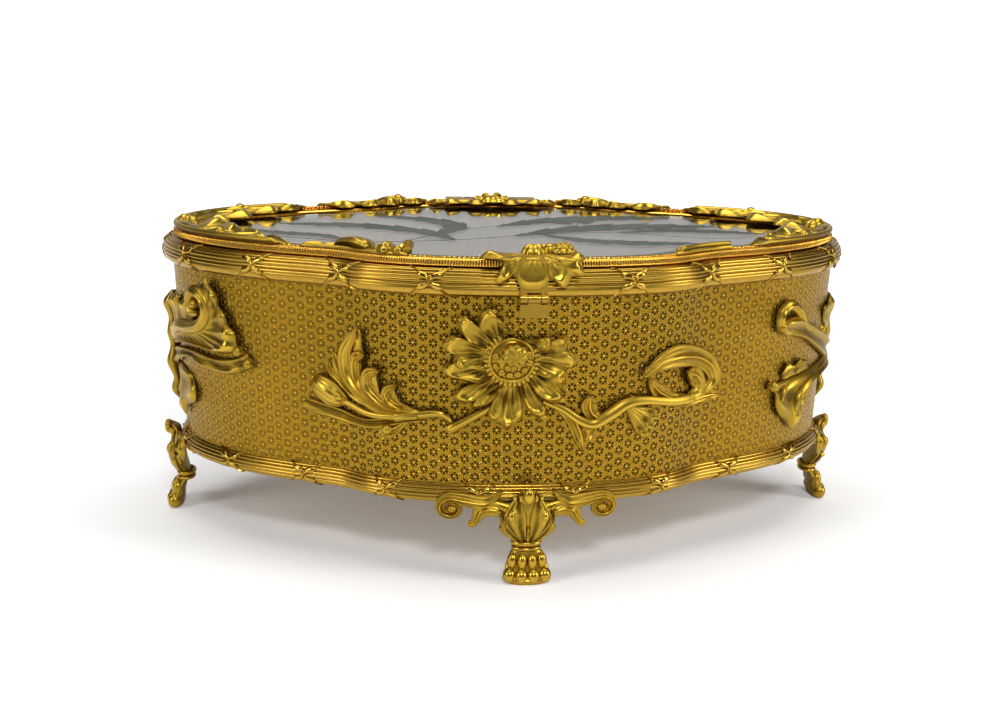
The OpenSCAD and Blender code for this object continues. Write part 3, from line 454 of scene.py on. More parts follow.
def petal(
    shells, face, spine, width, lobes, height, reeds, base=0.25, lift=1.0, root=0.28, rows=44, columns=45
):
    """Cast petal. It flares from a narrow root; the end has rounded lobes, each with a hollow and a
    curled lip. Fine grooves fan out from the root and fade, and the tip lifts off its ground."""
    t = np.linspace(0, 1, rows)[:, None] ** 0.85
    w = rounded_columns(columns)
    side = np.abs(w)
    lobe = np.abs(np.sin(0.5 * math.pi * lobes * (w + 1)))
    cut, fall, body_high, hollow_deep, groove_deep, lip_high, least = 0.14, 0.16, 0.42, 0.34, 0.05, 0.5, 0.06
    reach = t * (1 - cut * (1 - lobe) ** 1.6 - fall * side**5)
    flare = eased(reach, ([0, 0.2, 0.45, 0.7, 0.88, 1], [root, root + 0.1, 0.66, 0.92, 1, 0.94]))
    x, y, nx, ny, _ = spine_at(spine, reach)
    edge = (1 - side**6) ** 0.5
    hollow = -hollow_deep * lobe**1.4 * hump(reach, 0.7, 0.15)
    grooves = groove_deep * np.cos(math.pi * reeds * w) * smooth_step(reach, 0.7, 0.35)
    ridge = 0.13 * (1 - lobe) ** 2 * smooth_step(
        reach, 0.3, 0.6
    ) + 0.2 * side**4 * smooth_step(reach, 0.3, 0.7)
    lip = lip_high * (0.3 + 0.7 * lobe) * hump(t, 0.9, 0.075)
    crest = body_high * edge + hollow + (grooves + ridge) * edge + lip * edge
    crest = crest * (1 - 0.75 * smooth_step(t, 0.93, 1)) * (0.4 + 0.6 * smooth_step(t, 0, 0.12))
    low = base + lift * reach**2 + 0 * w
    across = w * flare * width
    # Painted light: hollows and falling edges darker, ridges, grooves' crests and lips lighter
    shade = 0.55 + 1.3 * hollow + 2.5 * grooves + 1.2 * ridge + 0.9 * lip - 0.25 * (1 - edge)
    x, y = x + nx * across, y + ny * across
    cast_sheet(shells, face, x, y, low, height * np.maximum(crest, least), shade)


def running_mean(values, window):
    """Mean over a window of odd width, with the first and last value carried on past the ends."""
    return np.convolve(np.pad(values, window // 2, mode="edge"), np.full(window, 1.0 / window), "valid")


def spread(
    shells, face, near, far, height, base=0.3, lift=0.8, cup=0.2, ridge=0.4, lip=0.4, lip_at=0.8,
    lip_width=0.11, veins=0, soften=36, rows=84, columns=31
):
    """Broad cast leaf between two curves: rows follow the curves and columns cross from the near one to
    the far one. The lobes of the far curve show in the relief. Where the leaf is wider than its running
    mean a ridge rises and ends in a swelling lip, and where it is narrower there is a furrow."""
    body_high, bead_high, vein_deep, least = 0.5, 0.16, 0.03, 0.05
    t = np.linspace(0.001, 0.999, rows)
    c = (0.5 - 0.5 * np.cos(math.pi * np.linspace(0, 1, columns)))[None, :]
    ax, ay = spine_at(near, t)[:2]
    bx, by = spine_at(far, t)[:2]
    for _ in range(2):
        bx, by = (running_mean(v, 2 * (rows // soften) + 1) for v in (bx, by))
    wide = np.hypot(bx - ax, by - ay)
    swell = wide - running_mean(wide, rows // 12 * 2 + 1)
    lobe = np.clip(0.5 + 0.7 * swell / (np.abs(swell).max() + 0.01), 0, 1)[:, None]
    ax, ay, bx, by = (v[:, None] for v in (ax, ay, bx, by))
    side = np.abs(2 * c - 1)
    ends = np.clip(1 - np.abs(2 * t - 1) ** 16, 0, 1)[:, None] ** 0.5
    edge = (1 - side**3) ** 0.5
    fold = ridge * (lobe - 0.5) * smooth_step(c, 0.12, 0.55)
    hollow = -cup * hump(c, 0.42, 0.2)
    bead = bead_high * hump(c, 0.1, 0.07)
    tip = lip * lobe * hump(c, lip_at, lip_width)
    fine = vein_deep * np.cos(2 * math.pi * veins * t)[:, None] if veins else 0
    fine = fine * smooth_step(c, 0.05, 0.2) * smooth_step(c, 0.75, 0.5)
    crest = (body_high + fold + hollow + bead + tip + fine) * edge * ends
    low = base + lift * c**2 + 0 * ax
    # Painted light: hollows and falling edges darker, folds, bead and lips lighter
    shade = 0.5 + 1.0 * fold + 1.2 * hollow + bead + 0.9 * tip + 3 * fine - 0.3 * (1 - edge)
    x, y = ax + (bx - ax) * c, ay + (by - ay) * c
    cast_sheet(shells, face, x, y, low, height * np.maximum(crest, least), shade)


def tube(
    shells, face, spine, radius, stops=STEM, rise=1.0, flutes=0, depth=0.1, base=0.25, rows=40, columns=20
):
    """Round stem or bud along a curve: the section is an ellipse that lies on the face, its radius
    follows the stops, and flutes wave it round the section."""
    t = np.linspace(0, 1, rows)[:, None]
    a = full_turn(columns)[None, :]
    r = radius * eased(t, stops)
    wave = 1 + depth * np.cos(flutes * a + 0 * t) if flutes else np.ones_like(a + t)
    x, y, nx, ny, _ = spine_at(spine, t)
    across = r * wave * np.cos(a)
    up = base + rise * (r + r * wave * np.sin(a))
    # Painted light: the side of the stem that stands off its ground lighter, the side against the ground
    # dark, the flutes' crests lighter
    shade = np.clip(0.25 + 0.5 * np.sin(a) + (wave - 1) * 3 + 0 * t, 0, 1)
    shells.loft(face(x + nx * across, y + ny * across, up), shade)


def dome(
    shells, face, centre, half_a, half_b, height, pleats=0, depth=0.1, twist=0.0, base=0.25, rows=16,
    columns=48
):
    """Domed boss: rings that close in as they rise by a quarter wave, with pleats that wind round."""
    k = np.linspace(0, 1, rows)[:, None]
    a = full_turn(columns)[None, :]
    close = np.maximum(np.cos(0.5 * math.pi * k), 0.02) ** 0.8
    wave = np.cos(pleats * (a + twist * k)) if pleats else 0 * a
    r = close * (1 + depth * 0.6 * wave * (1 - k))
    up = base + height * np.sin(0.5 * math.pi * k) * (1 + depth * wave * close)
    # Painted light: pleat crests lighter, pleat valleys darker
    shade = np.clip(0.55 + 0.35 * wave + 0 * k, 0, 1)
    shells.loft(face(centre[0] + half_a * r * np.cos(a), centre[1] + half_b * r * np.sin(a), up), shade)


def moulding(profile, samples, clip=None):
    """Profile of (offset, height) points carried round the plan in even steps of its length."""
    s = round_box(samples)[:, None]
    off = np.broadcast_to(profile[None, :, 0], (samples, len(profile)))
    z = np.broadcast_to(profile[None, :, 1], off.shape)
    if clip:
        off, z = clip(s, off, z)
    return stack(*plan(turn_at(s), off), z)


def resample(points, count):
    """Evenly spaced points along a chain, with the share of its length at each."""
    along = length_along(points)
    k = np.linspace(0, along[-1], count)
    return np.stack([np.interp(k, along, points[:, i]) for i in (0, 1)], axis=1), k / along[-1]


def chain_normal(line):
    """Unit normal at each point of a chain, to the right of its way."""
    d = np.gradient(line, axis=0)
    return np.stack([d[:, 1], -d[:, 0]], axis=1) / np.linalg.norm(d, axis=1)[:, None]


def reeded(points, reeds, depth, samples, plain):
    """Chain bulged outward into round reeds: half waves of equal width along it, after one plain swell."""
    line, share = resample(points, samples)
    reed = np.abs(np.sin(math.pi * reeds * np.clip((share - plain) / (1 - plain), 0, 1))) ** 0.6
    swell = np.maximum(np.sin(math.pi * np.minimum(share, plain) / plain), 0) ** 0.5
    wave = np.where(share < plain, swell, np.where(share > plain, reed, 0))
    # The second value is painted light: the reeds' crests lighter, the grooves and the plain swell's ends
    # darker
    return line + chain_normal(line) * (depth * (wave - 1))[:, None], 0.15 + 0.6 * wave


# Finishes


class Nodes:
    """Short hand for a material's nodes: each method adds a node and gives its output."""

    def __init__(self, name):
        self.material = bpy.data.materials.new(name)
        self.material.use_nodes = True
        self.tree = self.material.node_tree
        self.shader = self.tree.nodes["Principled BSDF"]

    def node(self, kind, **values):
        made = self.tree.nodes.new(kind)
        for key, value in values.items():
            setattr(made, key, value)
        return made

    def link(self, value, socket):
        if isinstance(value, bpy.types.NodeSocket):
            self.tree.links.new(value, socket)
        else:
            socket.default_value = value

    def look(self, **inputs):
        """Set inputs of the shader to a value, a colour or the output of a node."""
        for name, value in inputs.items():
            self.link(value, self.shader.inputs[name.replace("_", " ")])

    def math(self, operation, *values):
        made = self.node("ShaderNodeMath", operation=operation)
        for value, socket in zip(values, made.inputs):
            self.link(value, socket)
        return made.outputs[0]

    def add(self, a, b):
        return self.math("ADD", a, b)

    def less(self, a, b):
        return self.math("SUBTRACT", a, b)

    def times(self, a, b):
        return self.math("MULTIPLY", a, b)

    def largest(self, a, b):
        return self.math("MAXIMUM", a, b)

    def radius(self, x, y):
        return self.math("SQRT", self.add(self.times(x, x), self.times(y, y)))

    def mix(self, share, a, b):
        made = self.node("ShaderNodeMix", data_type="RGBA")
        self.link(share, made.inputs[0])
        for value, socket in ((a, made.inputs[6]), (b, made.inputs[7])):
            self.link(value if isinstance(value, bpy.types.NodeSocket) else (*value, 1), socket)
        return made.outputs[2]

    def between(self, value, low, high, out_low=0.0, out_high=1.0):
        made = self.node("ShaderNodeMapRange", interpolation_type="SMOOTHSTEP")
        for socket, number in zip(made.inputs[:5], (value, low, high, out_low, out_high)):
            self.link(number, socket)
        return made.outputs[0]

    def place(self):
        return self.node("ShaderNodeTexCoord").outputs["Object"]

    def split(self, vector):
        made = self.node("ShaderNodeSeparateXYZ")
        self.link(vector, made.inputs[0])
        return made.outputs

    def noise(self, scale, detail=2.0):
        made = self.node("ShaderNodeTexNoise")
        self.link(self.place(), made.inputs["Vector"])
        made.inputs["Scale"].default_value = scale
        made.inputs["Detail"].default_value = detail
        made.inputs["Roughness"].default_value = 0.55
        return made.outputs["Fac"]

    def bump(self, height, distance):
        made = self.node("ShaderNodeBump")
        made.inputs["Strength"].default_value = 1.0
        made.inputs["Distance"].default_value = distance
        self.link(height, made.inputs["Height"])
        self.look(Normal=made.outputs[0])


def shade_of(colour, factor):
    return tuple(min(1.0, c * factor) for c in colour)


def patchy(n, colour, broad, dark=0.88, light=1.08, edge=0.35):
    """Colour that wanders between a darker and a lighter shade of itself with a broad noise."""
    return n.mix(n.between(broad, edge, 1 - edge), shade_of(colour, dark), shade_of(colour, light))


def gilding(name, colour, patina_and_painted_shade, rough, painted_light_and_patina=True, grain=0.000015):
    """Gilt bronze: warmer and darker in the hollows and on the undersides, which is patina with painted
    shade, and a painted highlight on the crests and upper sides; finely pitted.
    """
    n = Nodes(name)
    tone = patchy(n, colour, n.noise(26.0, 3.0))
    fine = n.noise(700.0)
    matt = n.between(fine, 0.3, 0.7, rough - 0.04, rough + 0.08)
    if painted_light_and_patina:
        # height here is the mesh's painted light and patina value, not a height
        height = n.node("ShaderNodeAttribute", attribute_name="painted_light_and_patina").outputs["Fac"]
        painted_light_level = n.add(height, n.times(n.less(fine, 0.5), 0.3))
        # Patina in the hollows, with painted shade on undersides and lower sides: low values mix towards the
        # dark colour
        tone = n.mix(n.between(painted_light_level, 0.42, 0.10, 0.0, 0.8), tone, patina_and_painted_shade)
        # Painted highlight: high values on crests and upper sides mix towards a lighter shade of the gold
        tone = n.mix(n.between(painted_light_level, 0.6, 0.92, 0.0, 0.8), tone, shade_of(colour, 1.5))
        matt = n.between(painted_light_level, 0.25, 0.85, rough + 0.10, rough - 0.08)
    n.look(Base_Color=tone, Roughness=matt, Metallic=1.0)
    n.bump(n.add(fine, n.times(n.noise(160.0), 2.0)), grain)
    return n.material


def stamped_gilding(colour, patina_and_painted_shade, pitch):
    """Matt gilding stamped with florets: on the wall's own (s, z) map the nearest centre of a
    hexagonal lattice is found from two rectangular ones, and six petals are cut round it by the
    sixth wave of the angle. The petals carry patina, made darker towards the middle as a painted
    dark reflection and lighter at the ends; the raised tips and centres carry a painted highlight."""
    n = Nodes("matt_gilding")
    s, z = n.split(n.node("ShaderNodeUVMap", uv_map="along").outputs[0])[:2]
    wide = 2 * HALF_GIRTH * MM / round(2 * HALF_GIRTH * MM / (pitch * math.sqrt(3)))

    def local(value, size, shift):
        """Distance from the middle of the cell; the whole number only keeps the share above 0."""
        share = n.math("FRACT", n.add(n.math("DIVIDE", value, size), shift + 0.5 + 64.0))
        return n.times(n.less(share, 0.5), size)

    places = []
    for shift in (0.0, 0.5):
        x, y = local(s, wide, shift), local(z, pitch, shift)
        places.append((x, y, n.radius(x, y)))
    nearer = n.math("LESS_THAN", places[0][2], places[1][2])
    x, y, far = (n.add(n.times(a, nearer), n.times(b, n.less(1.0, nearer))) for a, b in zip(*places))
    ray = n.math("COSINE", n.times(n.math("ARCTAN2", x, y), 6.0))
    out = n.math("DIVIDE", far, pitch)
    petal = n.times(n.between(ray, -0.8, 0.2), n.between(out, 0.12, 0.17))
    petal = n.times(petal, n.between(out, 0.39, 0.33))
    tip = n.times(n.between(ray, 0.1, 0.9), n.between(n.math("ABSOLUTE", n.less(out, 0.42)), 0.062, 0.02))
    raised_and_glint = n.largest(tip, n.between(out, 0.11, 0.07, 0.0, 0.7))
    # Painted dark reflection: a share that keeps the petals dark towards the middle of each wall and lets
    # them fade towards the ends
    painted_dark_reflection = n.between(n.math("ABSOLUTE", n.split(n.place())[0]), 0.045, 0.085, 0.9, 0.25)
    fine = n.noise(1400.0)
    tone = patchy(n, colour, n.noise(18.0, 3.0), 0.9)
    # Patina in the stamped petals, scaled by the painted dark reflection
    tone = n.mix(n.times(petal, painted_dark_reflection), tone, shade_of(patina_and_painted_shade, 0.35))
    # Painted highlight: the raised tips and centres are mixed towards pale gold
    tone = n.mix(n.times(raised_and_glint, 0.8), tone, (1.0, 0.74, 0.18))
    shiny = n.less(1.0, n.times(n.largest(petal, tip), 0.55))
    n.look(Base_Color=tone, Metallic=1.0, Roughness=n.times(n.between(fine, 0.3, 0.7, 0.34, 0.46), shiny))
    n.bump(n.add(n.less(n.times(raised_and_glint, 0.8), petal), n.times(fine, 0.1)), 0.0008)
    return n.material


def even_finish(name, tone, fine, rough, grain, weave=None, **looks):
    """Finish without relief. tone is a pair of shades, the scale and detail of the noise that mixes them
    and the noise's lower edge; fine is the scale and detail of a noise that gives roughness and grain."""
    n = Nodes(name)
    dark, light, scale, detail, edge = tone
    speck = n.noise(*fine)
    matt = n.between(speck, 0.3, 0.7, *rough)
    n.look(
        Base_Color=n.mix(n.between(n.noise(scale, detail), edge, 1 - edge), dark, light), Roughness=matt
    )
    n.look(**looks)
    n.bump(n.add(speck, n.noise(weave)) if weave else speck, grain)
    return n.material


def glass():
    n = Nodes("bevelled_glass")
    smear = n.noise(22.0)
    matt = n.between(smear, 0.3, 0.7, 0.0, 0.03)
    n.look(Base_Color=(0.82, 0.82, 0.76, 1), Transmission_Weight=1.0, IOR=1.5, Roughness=matt)
    n.bump(smear, 0.00002)
    return n.material


def pale_floor(colour):
    """Floor and backdrop: white as seen, in reflections and through glass. The white grows with the
    distance behind the box and is dimmer above the frame of the main view, and the camera sees it all
    round the box. The light on the box and the shadow under it stay those of the lamps."""
    n = Nodes("pale_floor")
    n.look(Base_Color=n.mix(n.noise(3.0), shade_of(colour, 0.99), colour), Roughness=0.9)
    path = n.node("ShaderNodeLightPath").outputs
    camera = path["Is Camera Ray"]
    mirrored_or_through = n.largest(n.times(path["Is Glossy Ray"], 0.5), path["Is Transmission Ray"])
    seen = n.largest(camera, mirrored_or_through)
    x, y, z = n.split(n.place())
    behind = n.times(n.between(y, 0.1, 1.1, 0.16, 1.0), n.between(z, 0.34, 0.52, 1.0, 0.72))
    around = n.times(camera, n.between(n.radius(x, y), 0.4, 1.5))
    strength = n.largest(n.times(seen, behind), around)
    n.look(Specular_IOR_Level=0.1, Emission_Color=(1, 1, 1, 1), Emission_Strength=strength)
    return n.material


# Materials by kind of surface, filled by the stage
FINISH = {}


def make_finishes(colours, floret_pitch):
    """Fill FINISH with the material of each kind of surface."""
    patina_and_painted_shade, silk, etch = tuple(colours.patina_and_painted_shade), tuple(colours.silk), tuple(colours.etch)
    for key, name, colour, rough, form in (
        ("cast", "cast_gilding", colours.cast_gold, 0.36, {"grain": 0.000025}),
        ("bright", "bright_gilding", colours.bright_gold, 0.28, {}),
        ("red", "red_gilding", colours.red_gold, 0.25, {}),
        ("plain", "plain_gilding", colours.bright_gold, 0.3, {"painted_light_and_patina": False})
    ):
        FINISH[key] = gilding(name, tuple(colour), patina_and_painted_shade, rough, **form)
    steel = ((0.30, 0.28, 0.24), (0.42, 0.40, 0.35), 700.0, 2.0, 0.3)
    FINISH["steel"] = even_finish("steel", steel, (700.0, 2.0), (0.3, 0.45), 0.00002, Metallic=1.0)
    board = ((0.28, 0.20, 0.12), (0.36, 0.27, 0.17), 800.0, 3.0, 0.3)
    FINISH["board"] = even_finish("board", board, (800.0, 3.0), (0.7, 0.9), 0.00005)
    # The frost's dark tone is painted shade
    frost = (shade_of(etch, 0.85), shade_of(etch, 1.15), 60.0, 2.0, 0.35)
    FINISH["etch"] = even_finish("etched_frost", frost, (1500.0, 2.0), (0.7, 0.9), 0.00001, Alpha=0.74)
    cloth = (shade_of(silk, 0.88), shade_of(silk, 1.08), 35.0, 3.0, 0.3)
    FINISH["silk"] = even_finish(
        "silk", cloth, (2200.0, 2.0), (0.38, 0.55), 0.00006, 420.0, Sheen_Weight=0.5
    )
    FINISH["glass"] = glass()
    FINISH["floor"] = pale_floor(tuple(colours.floor))
    FINISH["matt"] = stamped_gilding(tuple(colours.matt_gold), patina_and_painted_shade, floret_pitch)


def add_floor(scene):
    """Floor that sweeps up into a backdrop: level, then a quarter circle, then upright."""
    reach, back, bend, top = 4.0, 2.6, 0.8, 2.6
    a = np.linspace(0, math.pi / 2, 17)
    y = np.concatenate([[-reach], back + bend * np.sin(a), [back + bend]])
    z = np.concatenate([[0.0], bend - bend * np.cos(a), [top]])
    grid = stack(np.linspace(-reach, reach, 9)[None, :], y[:, None], z[:, None]) / MM
    faces = grid_faces(*grid.shape[:2])[:, ::-1]
    floor = bpy.data.objects.new("floor", build_mesh("floor", grid.reshape(-1, 3), faces))
    scene.collection.objects.link(floor)
    floor.data.materials.append(FINISH["floor"])


def add_world(scene):
    """Dim grey light all round, seen by the camera as white."""
    world = bpy.data.worlds.new("studio")
    scene.world = world
    world.use_nodes = True
    nodes, links = world.node_tree.nodes, world.node_tree.links
    dim, white = nodes["Background"], nodes.new("ShaderNodeBackground")
    dim.inputs[0].default_value = (0.30, 0.31, 0.33, 1)
    dim.inputs[1].default_value = 0.09
    white.inputs[0].default_value = (1, 1, 1, 1)
    choice = nodes.new("ShaderNodeMixShader")
    camera_ray = nodes.new("ShaderNodeLightPath").outputs["Is Camera Ray"]
    for source, socket in zip((camera_ray, dim.outputs[0], white.outputs[0]), choice.inputs):
        links.new(source, socket)
    links.new(choice.outputs[0], nodes["World Output"].inputs[0])


# Lamps: name, place, size across and up in metres, power in watts
LAMPS = (
    ("overhead", (0.0, 0.1, 1.25), 1.3, 0.9, 13.0), ("left_panel", (-1.3, -0.7, 0.75), 0.4, 0.9, 7.0),
    ("right_panel", (1.35, -0.5, 0.65), 0.45, 0.9, 9.0),
    ("front_panel", (0.1, -1.4, 1.25), 0.45, 0.25, 11.0)
)
LAMP_AIM = (0.0, 0.0, 0.06)


def add_lamps(scene):
    """Soft rectangular lamps, each turned so that it shines at the box."""
    for name, place, wide, tall, power in LAMPS:
        data = bpy.data.lights.new(name, "AREA")
        data.shape = "RECTANGLE"
        data.size, data.size_y, data.energy = wide, tall, power
        lamp = bpy.data.objects.new(name, data)
        lamp.location = place
        aim = np.array(LAMP_AIM) - np.array(place)
        lamp.rotation_euler = Vector(aim).to_track_quat("-Z", "Y").to_euler()
        scene.collection.objects.link(lamp)


def add_camera(scene):
    """Camera at the photograph's place: turned 5.7 degrees to the left, 13.3 up, rolled by 1.1."""
    azimuth, elevation, roll = (math.radians(a) for a in (-5.7, 13.3, 1.1))
    distance, aim_z, sensor = 0.509, 0.0595, 36.0
    focal_px, wide_px, tall_px, centre_px = 1293.0, 1000.0, 724.0, (506.0, 354.0)
    flat = math.cos(elevation)
    back = np.array([math.sin(azimuth) * flat, -math.cos(azimuth) * flat, math.sin(elevation)])
    across = np.array([math.cos(azimuth), math.sin(azimuth), 0.0])
    up = np.cross(back, across)
    right = across * math.cos(roll) + up * math.sin(roll)
    top = up * math.cos(roll) - across * math.sin(roll)
    data = bpy.data.cameras.new("camera")
    data.sensor_fit = "HORIZONTAL"
    data.sensor_width = sensor
    data.lens = sensor * focal_px / wide_px
    data.shift_x = (wide_px / 2 - centre_px[0]) / wide_px
    data.shift_y = (centre_px[1] - tall_px / 2) / wide_px
    data.clip_start = 0.01
    camera = bpy.data.objects.new("camera", data)
    place = back * distance + np.array([0.0, 0.0, aim_z])
    camera.matrix_world = Matrix(
        [[right[i], top[i], back[i], place[i]] for i in range(3)] + [[0, 0, 0, 1]]
    )
    scene.collection.objects.link(camera)
    scene.camera = camera


class CASKET_OT_stage(Operator):
    """Make the finishes, the floor, the soft lamps and the camera"""

    bl_idname = "casket.stage"
    bl_label = "Stage"

    def execute(self, context):
        scene = context.scene
        make_finishes(scene.casket_colours, scene.casket_sizes.floret_pitch)
        scene.view_settings.view_transform = "Standard"
        for add in (add_floor, add_world, add_lamps, add_camera):
            add(scene)
        return {"FINISHED"}


def sheet_faces(columns, rows):
    """Faces of a grid closed by two points behind each column: the back, the long edges and the ends."""
    first = columns * rows
    i = np.arange(columns - 1)
    low, high, top = first + 2 * i, first + 2 * i + 1, i * rows + rows - 1
    back = np.stack([low, low + 2, high + 2, high], axis=1)[:, ::-1]
    bottom = np.stack([i * rows, (i + 1) * rows, low + 2, low], axis=1)[:, ::-1]
    quads = [grid_faces(columns, rows), back, bottom, np.stack([top, top + rows, high + 2, high], axis=1)]
    fans = []
    for column, way in ((0, 1), (columns - 1, -1)):
        edge = column * rows + np.arange(rows - 1)
        lower = first + 2 * column
        fan = np.stack([edge, edge + 1, np.full(rows - 1, lower)], axis=1)
        last = np.array([[column * rows + rows - 1, lower + 1, lower]])
        fans += [fan[:, ::way], last[:, ::way]]
    return np.concatenate(quads), np.concatenate(fans)


class CASKET_OT_wall(Operator):
    """Build the stamped wall in a front and a back sheet"""

    bl_idname = "casket.wall"
    bl_label = "Wall"

    def execute(self, context):
        sizes = context.scene.casket_sizes
        pitch, deep = sizes.floret_pitch / MM, sizes.dimple_depth / MM
        wide = 2 * HALF_GIRTH / round(2 * HALF_GIRTH / (pitch * math.sqrt(3)))
        columns, rows = 560, 112
        z = np.linspace(FLANGE_TOP + 0.2, WALL_TOP, rows)[None, :]
        edges = z[:, [0, -1]]
        for name, middle in (("wall_front", 0.0), ("wall_back", HALF_GIRTH)):
            s = middle + np.linspace(-END_S, END_S, columns)[:, None]
            # Dimples: product of waves whose crests lie on the florets' lattice
            wave = np.cos(4 * math.pi * s / wide) * np.cos(4 * math.pi * z / pitch)
            lattice = np.cos(2 * math.pi * s / wide) * np.cos(2 * math.pi * z / pitch)
            dimple = deep * (0.25 * wave + 0.75 * (2 * lattice**2 - 1))
            outer = stack(*plan(turn_at(s), wall_off(z) - deep * 0.5 - 0.5 * dimple), z)
            inner = stack(*plan(turn_at(s), wall_off(edges) - WALL_T + 0 * s), edges)
            points = np.concatenate([outer.reshape(-1, 3), inner.reshape(-1, 3)])
            maps = [np.stack(np.broadcast_arrays(s, at), axis=-1).reshape(-1, 2) for at in (z, edges)]
            uv = np.concatenate(maps) * MM
            mesh = build_mesh(name, points, *sheet_faces(columns, rows), uv=uv, sharp=50)
            add_object(name, mesh, FINISH["matt"], "box", "matt_gilding", "wall")
        return {"FINISHED"}


# Ribbons: way, width in the middle, width of the loops, lift and painted shine, a painted highlight that
# makes the narrow band bright
RIBBONS = ((1, 0.5, 1.3, 0.26, 0.5), (-1, 0.34, 0.34, 0.5, 1.0))


def ribbons(shells, path, places, lean, samples=22):
    """Crossed ribbons: at each place a narrow and a broad band run aslant over a moulding's face, with
    four small leaves between them. Across a band the height is a flat between two raised edges."""
    line, share = path
    normal = chain_normal(line)
    size = length_along(line)[-1]

    def on_face(s, k, h):
        """Place on the moulding: s along the plan, k the share of the way up its face, h off it."""
        k = np.clip(k, 0, 1)
        off, z = (np.interp(k, share, line[:, i]) + h * np.interp(k, share, normal[:, i]) for i in (0, 1))
        return stack(*plan(turn_at(s), off), z)

    k = np.linspace(0.02, 0.98, samples)[:, None]
    w = np.array([-1.0, -0.8, -0.5, 0.0, 0.5, 0.8, 1.0])[None, :]
    band = np.array([0.0, 1.0, 0.5, 0.4, 0.5, 1.0, 0.0])[None, :]
    for s0 in places:
        for way, thin, wide, lift, painted_shine in RIBBONS:
            half = thin + (wide - thin) * np.sin(2 * math.pi * k) ** 2
            s = s0 + way * lean * (k - 0.5) + w * half
            top = on_face(s, k + 0 * s, band * lift)
            under = on_face(s[:, ::-3], k + 0 * s[:, ::-3], -0.3)
            # Painted light: the raised edges and the narrow band lighter by their painted shine, the
            # underside dark
            shade = np.broadcast_to(0.2 + 0.8 * painted_shine * band, s.shape)
            shade = np.concatenate([shade, np.full((samples, 3), 0.2)], axis=1)
            shells.loft(np.concatenate([top, under], axis=1), shade)
        for way, up in ((-1, 1), (1, 1), (-1, -1), (1, -1)):

            def on_leaf(x, y, h):
                return on_face(s0 + x, 0.5 + y / size, h)

            spine = [[0, 0], [way * 1.6, up * 1.5], [way * 4.4, up * 2.5]]
            leaf(shells, on_leaf, spine, 1.2, 0.8, reeds=0, lip=0, hollow=0, base=0.0, rows=12, columns=7)


def ring_line(centre, radius_a, radius_b, first=0.0, last=360.0, count=13):
    """Points on an arc of an ellipse, from one angle to another in degrees."""
    a = np.radians(np.linspace(first, last, count))
    return np.stack([centre[0] + radius_a * np.cos(a), centre[1] + radius_b * np.sin(a)], axis=1)


class CASKET_OT_mouldings(Operator):
    """Build the reeded rim and base mouldings with their crossed ribbons"""

    bl_idname = "casket.mouldings"
    bl_label = "Mouldings"

    def execute(self, context):
        sizes = context.scene.casket_sizes
        step = 2 * HALF_GIRTH / sizes.ribbon_count
        crossings = [step * k for k in range(1, sizes.ribbon_count)]
        no_ribbon, play, samples = 26, 0.15, 680

        def cut_for_hinge(s, off, z):
            """The hinge leaf lies in a seat at the middle of the back."""
            x, y = plan(turn_at(s), 0.0)
            seat = (np.abs(x) < HINGE_W / 2 + play) & (y > 0)
            return np.where(seat, np.minimum(off, -HINGE_SEAT_IN - play), off), z

        def carry(name, node, reeded_part, rest, clip, path, places, lean):
            """Moulding of a reeded outside and a plain rest, with the ribbons over its face."""
            # bright is the reeds' painted light value
            outer, bright = reeded_part
            shade = np.concatenate([bright, np.full(len(rest), 0.3)])
            shells = Shells()
            shells.ring(moulding(np.concatenate([outer, rest]), samples, clip), shade[None, :])
            ribbons(shells, path, places, lean)
            add_shells(name, shells, FINISH["bright"], "box", "bright_gilding", node, sharp=60)

        # Rim: an arc of an ellipse about an offset and height, cut off where the lid comes down
        arc = ring_line((-4.0, 102.3), 4.0, 4.9, -62, 148, 40)
        arc = arc[arc[:, 0] > -6.0]
        inner = [wall_off(102.1) + 0.1, 102.1], [wall_off(98.6) + 0.1, 98.5]
        rest = np.array([[-5.4, 103.9], [-15, 103.9], [-15, 102.1], *inner])
        line, share = resample(arc, 60)
        first, last = 0.04, 0.86
        keep = (share > first) & (share < last)
        path = line[keep], (share[keep] - first) / 0.82
        part = reeded(arc, sizes.rim_reeds, sizes.reed_depth / MM, 84, 0.3)
        places = [s for s in crossings if abs(s - HALF_GIRTH) > no_ribbon]
        carry("rim_band", "rim_moulding", part, rest, cut_for_hinge, path, places, 14.0)

        # Base: a smaller arc, then in under the wall and down the inside of the flange
        arc = ring_line((-6.9, 29.9), 2.8, 3.5, -80, 84, 30)
        inner = wall_off(FLANGE_TOP) - 9.5
        rest = [[wall_off(BASE_TOP) + 0.05, BASE_TOP], [wall_off(FLANGE_TOP) + 0.1, FLANGE_TOP]]
        rest = np.array(rest + [[inner, FLANGE_TOP], [inner, FOOT_H]])
        part = reeded(arc, sizes.base_reeds, sizes.reed_depth / MM, 58, 0.2)
        places = [step * (k + 0.5) for k in range(sizes.ribbon_count)]
        carry("base_band", "base_moulding", part, rest, None, resample(arc, 60), places, 13.0)
        return {"FINISHED"}


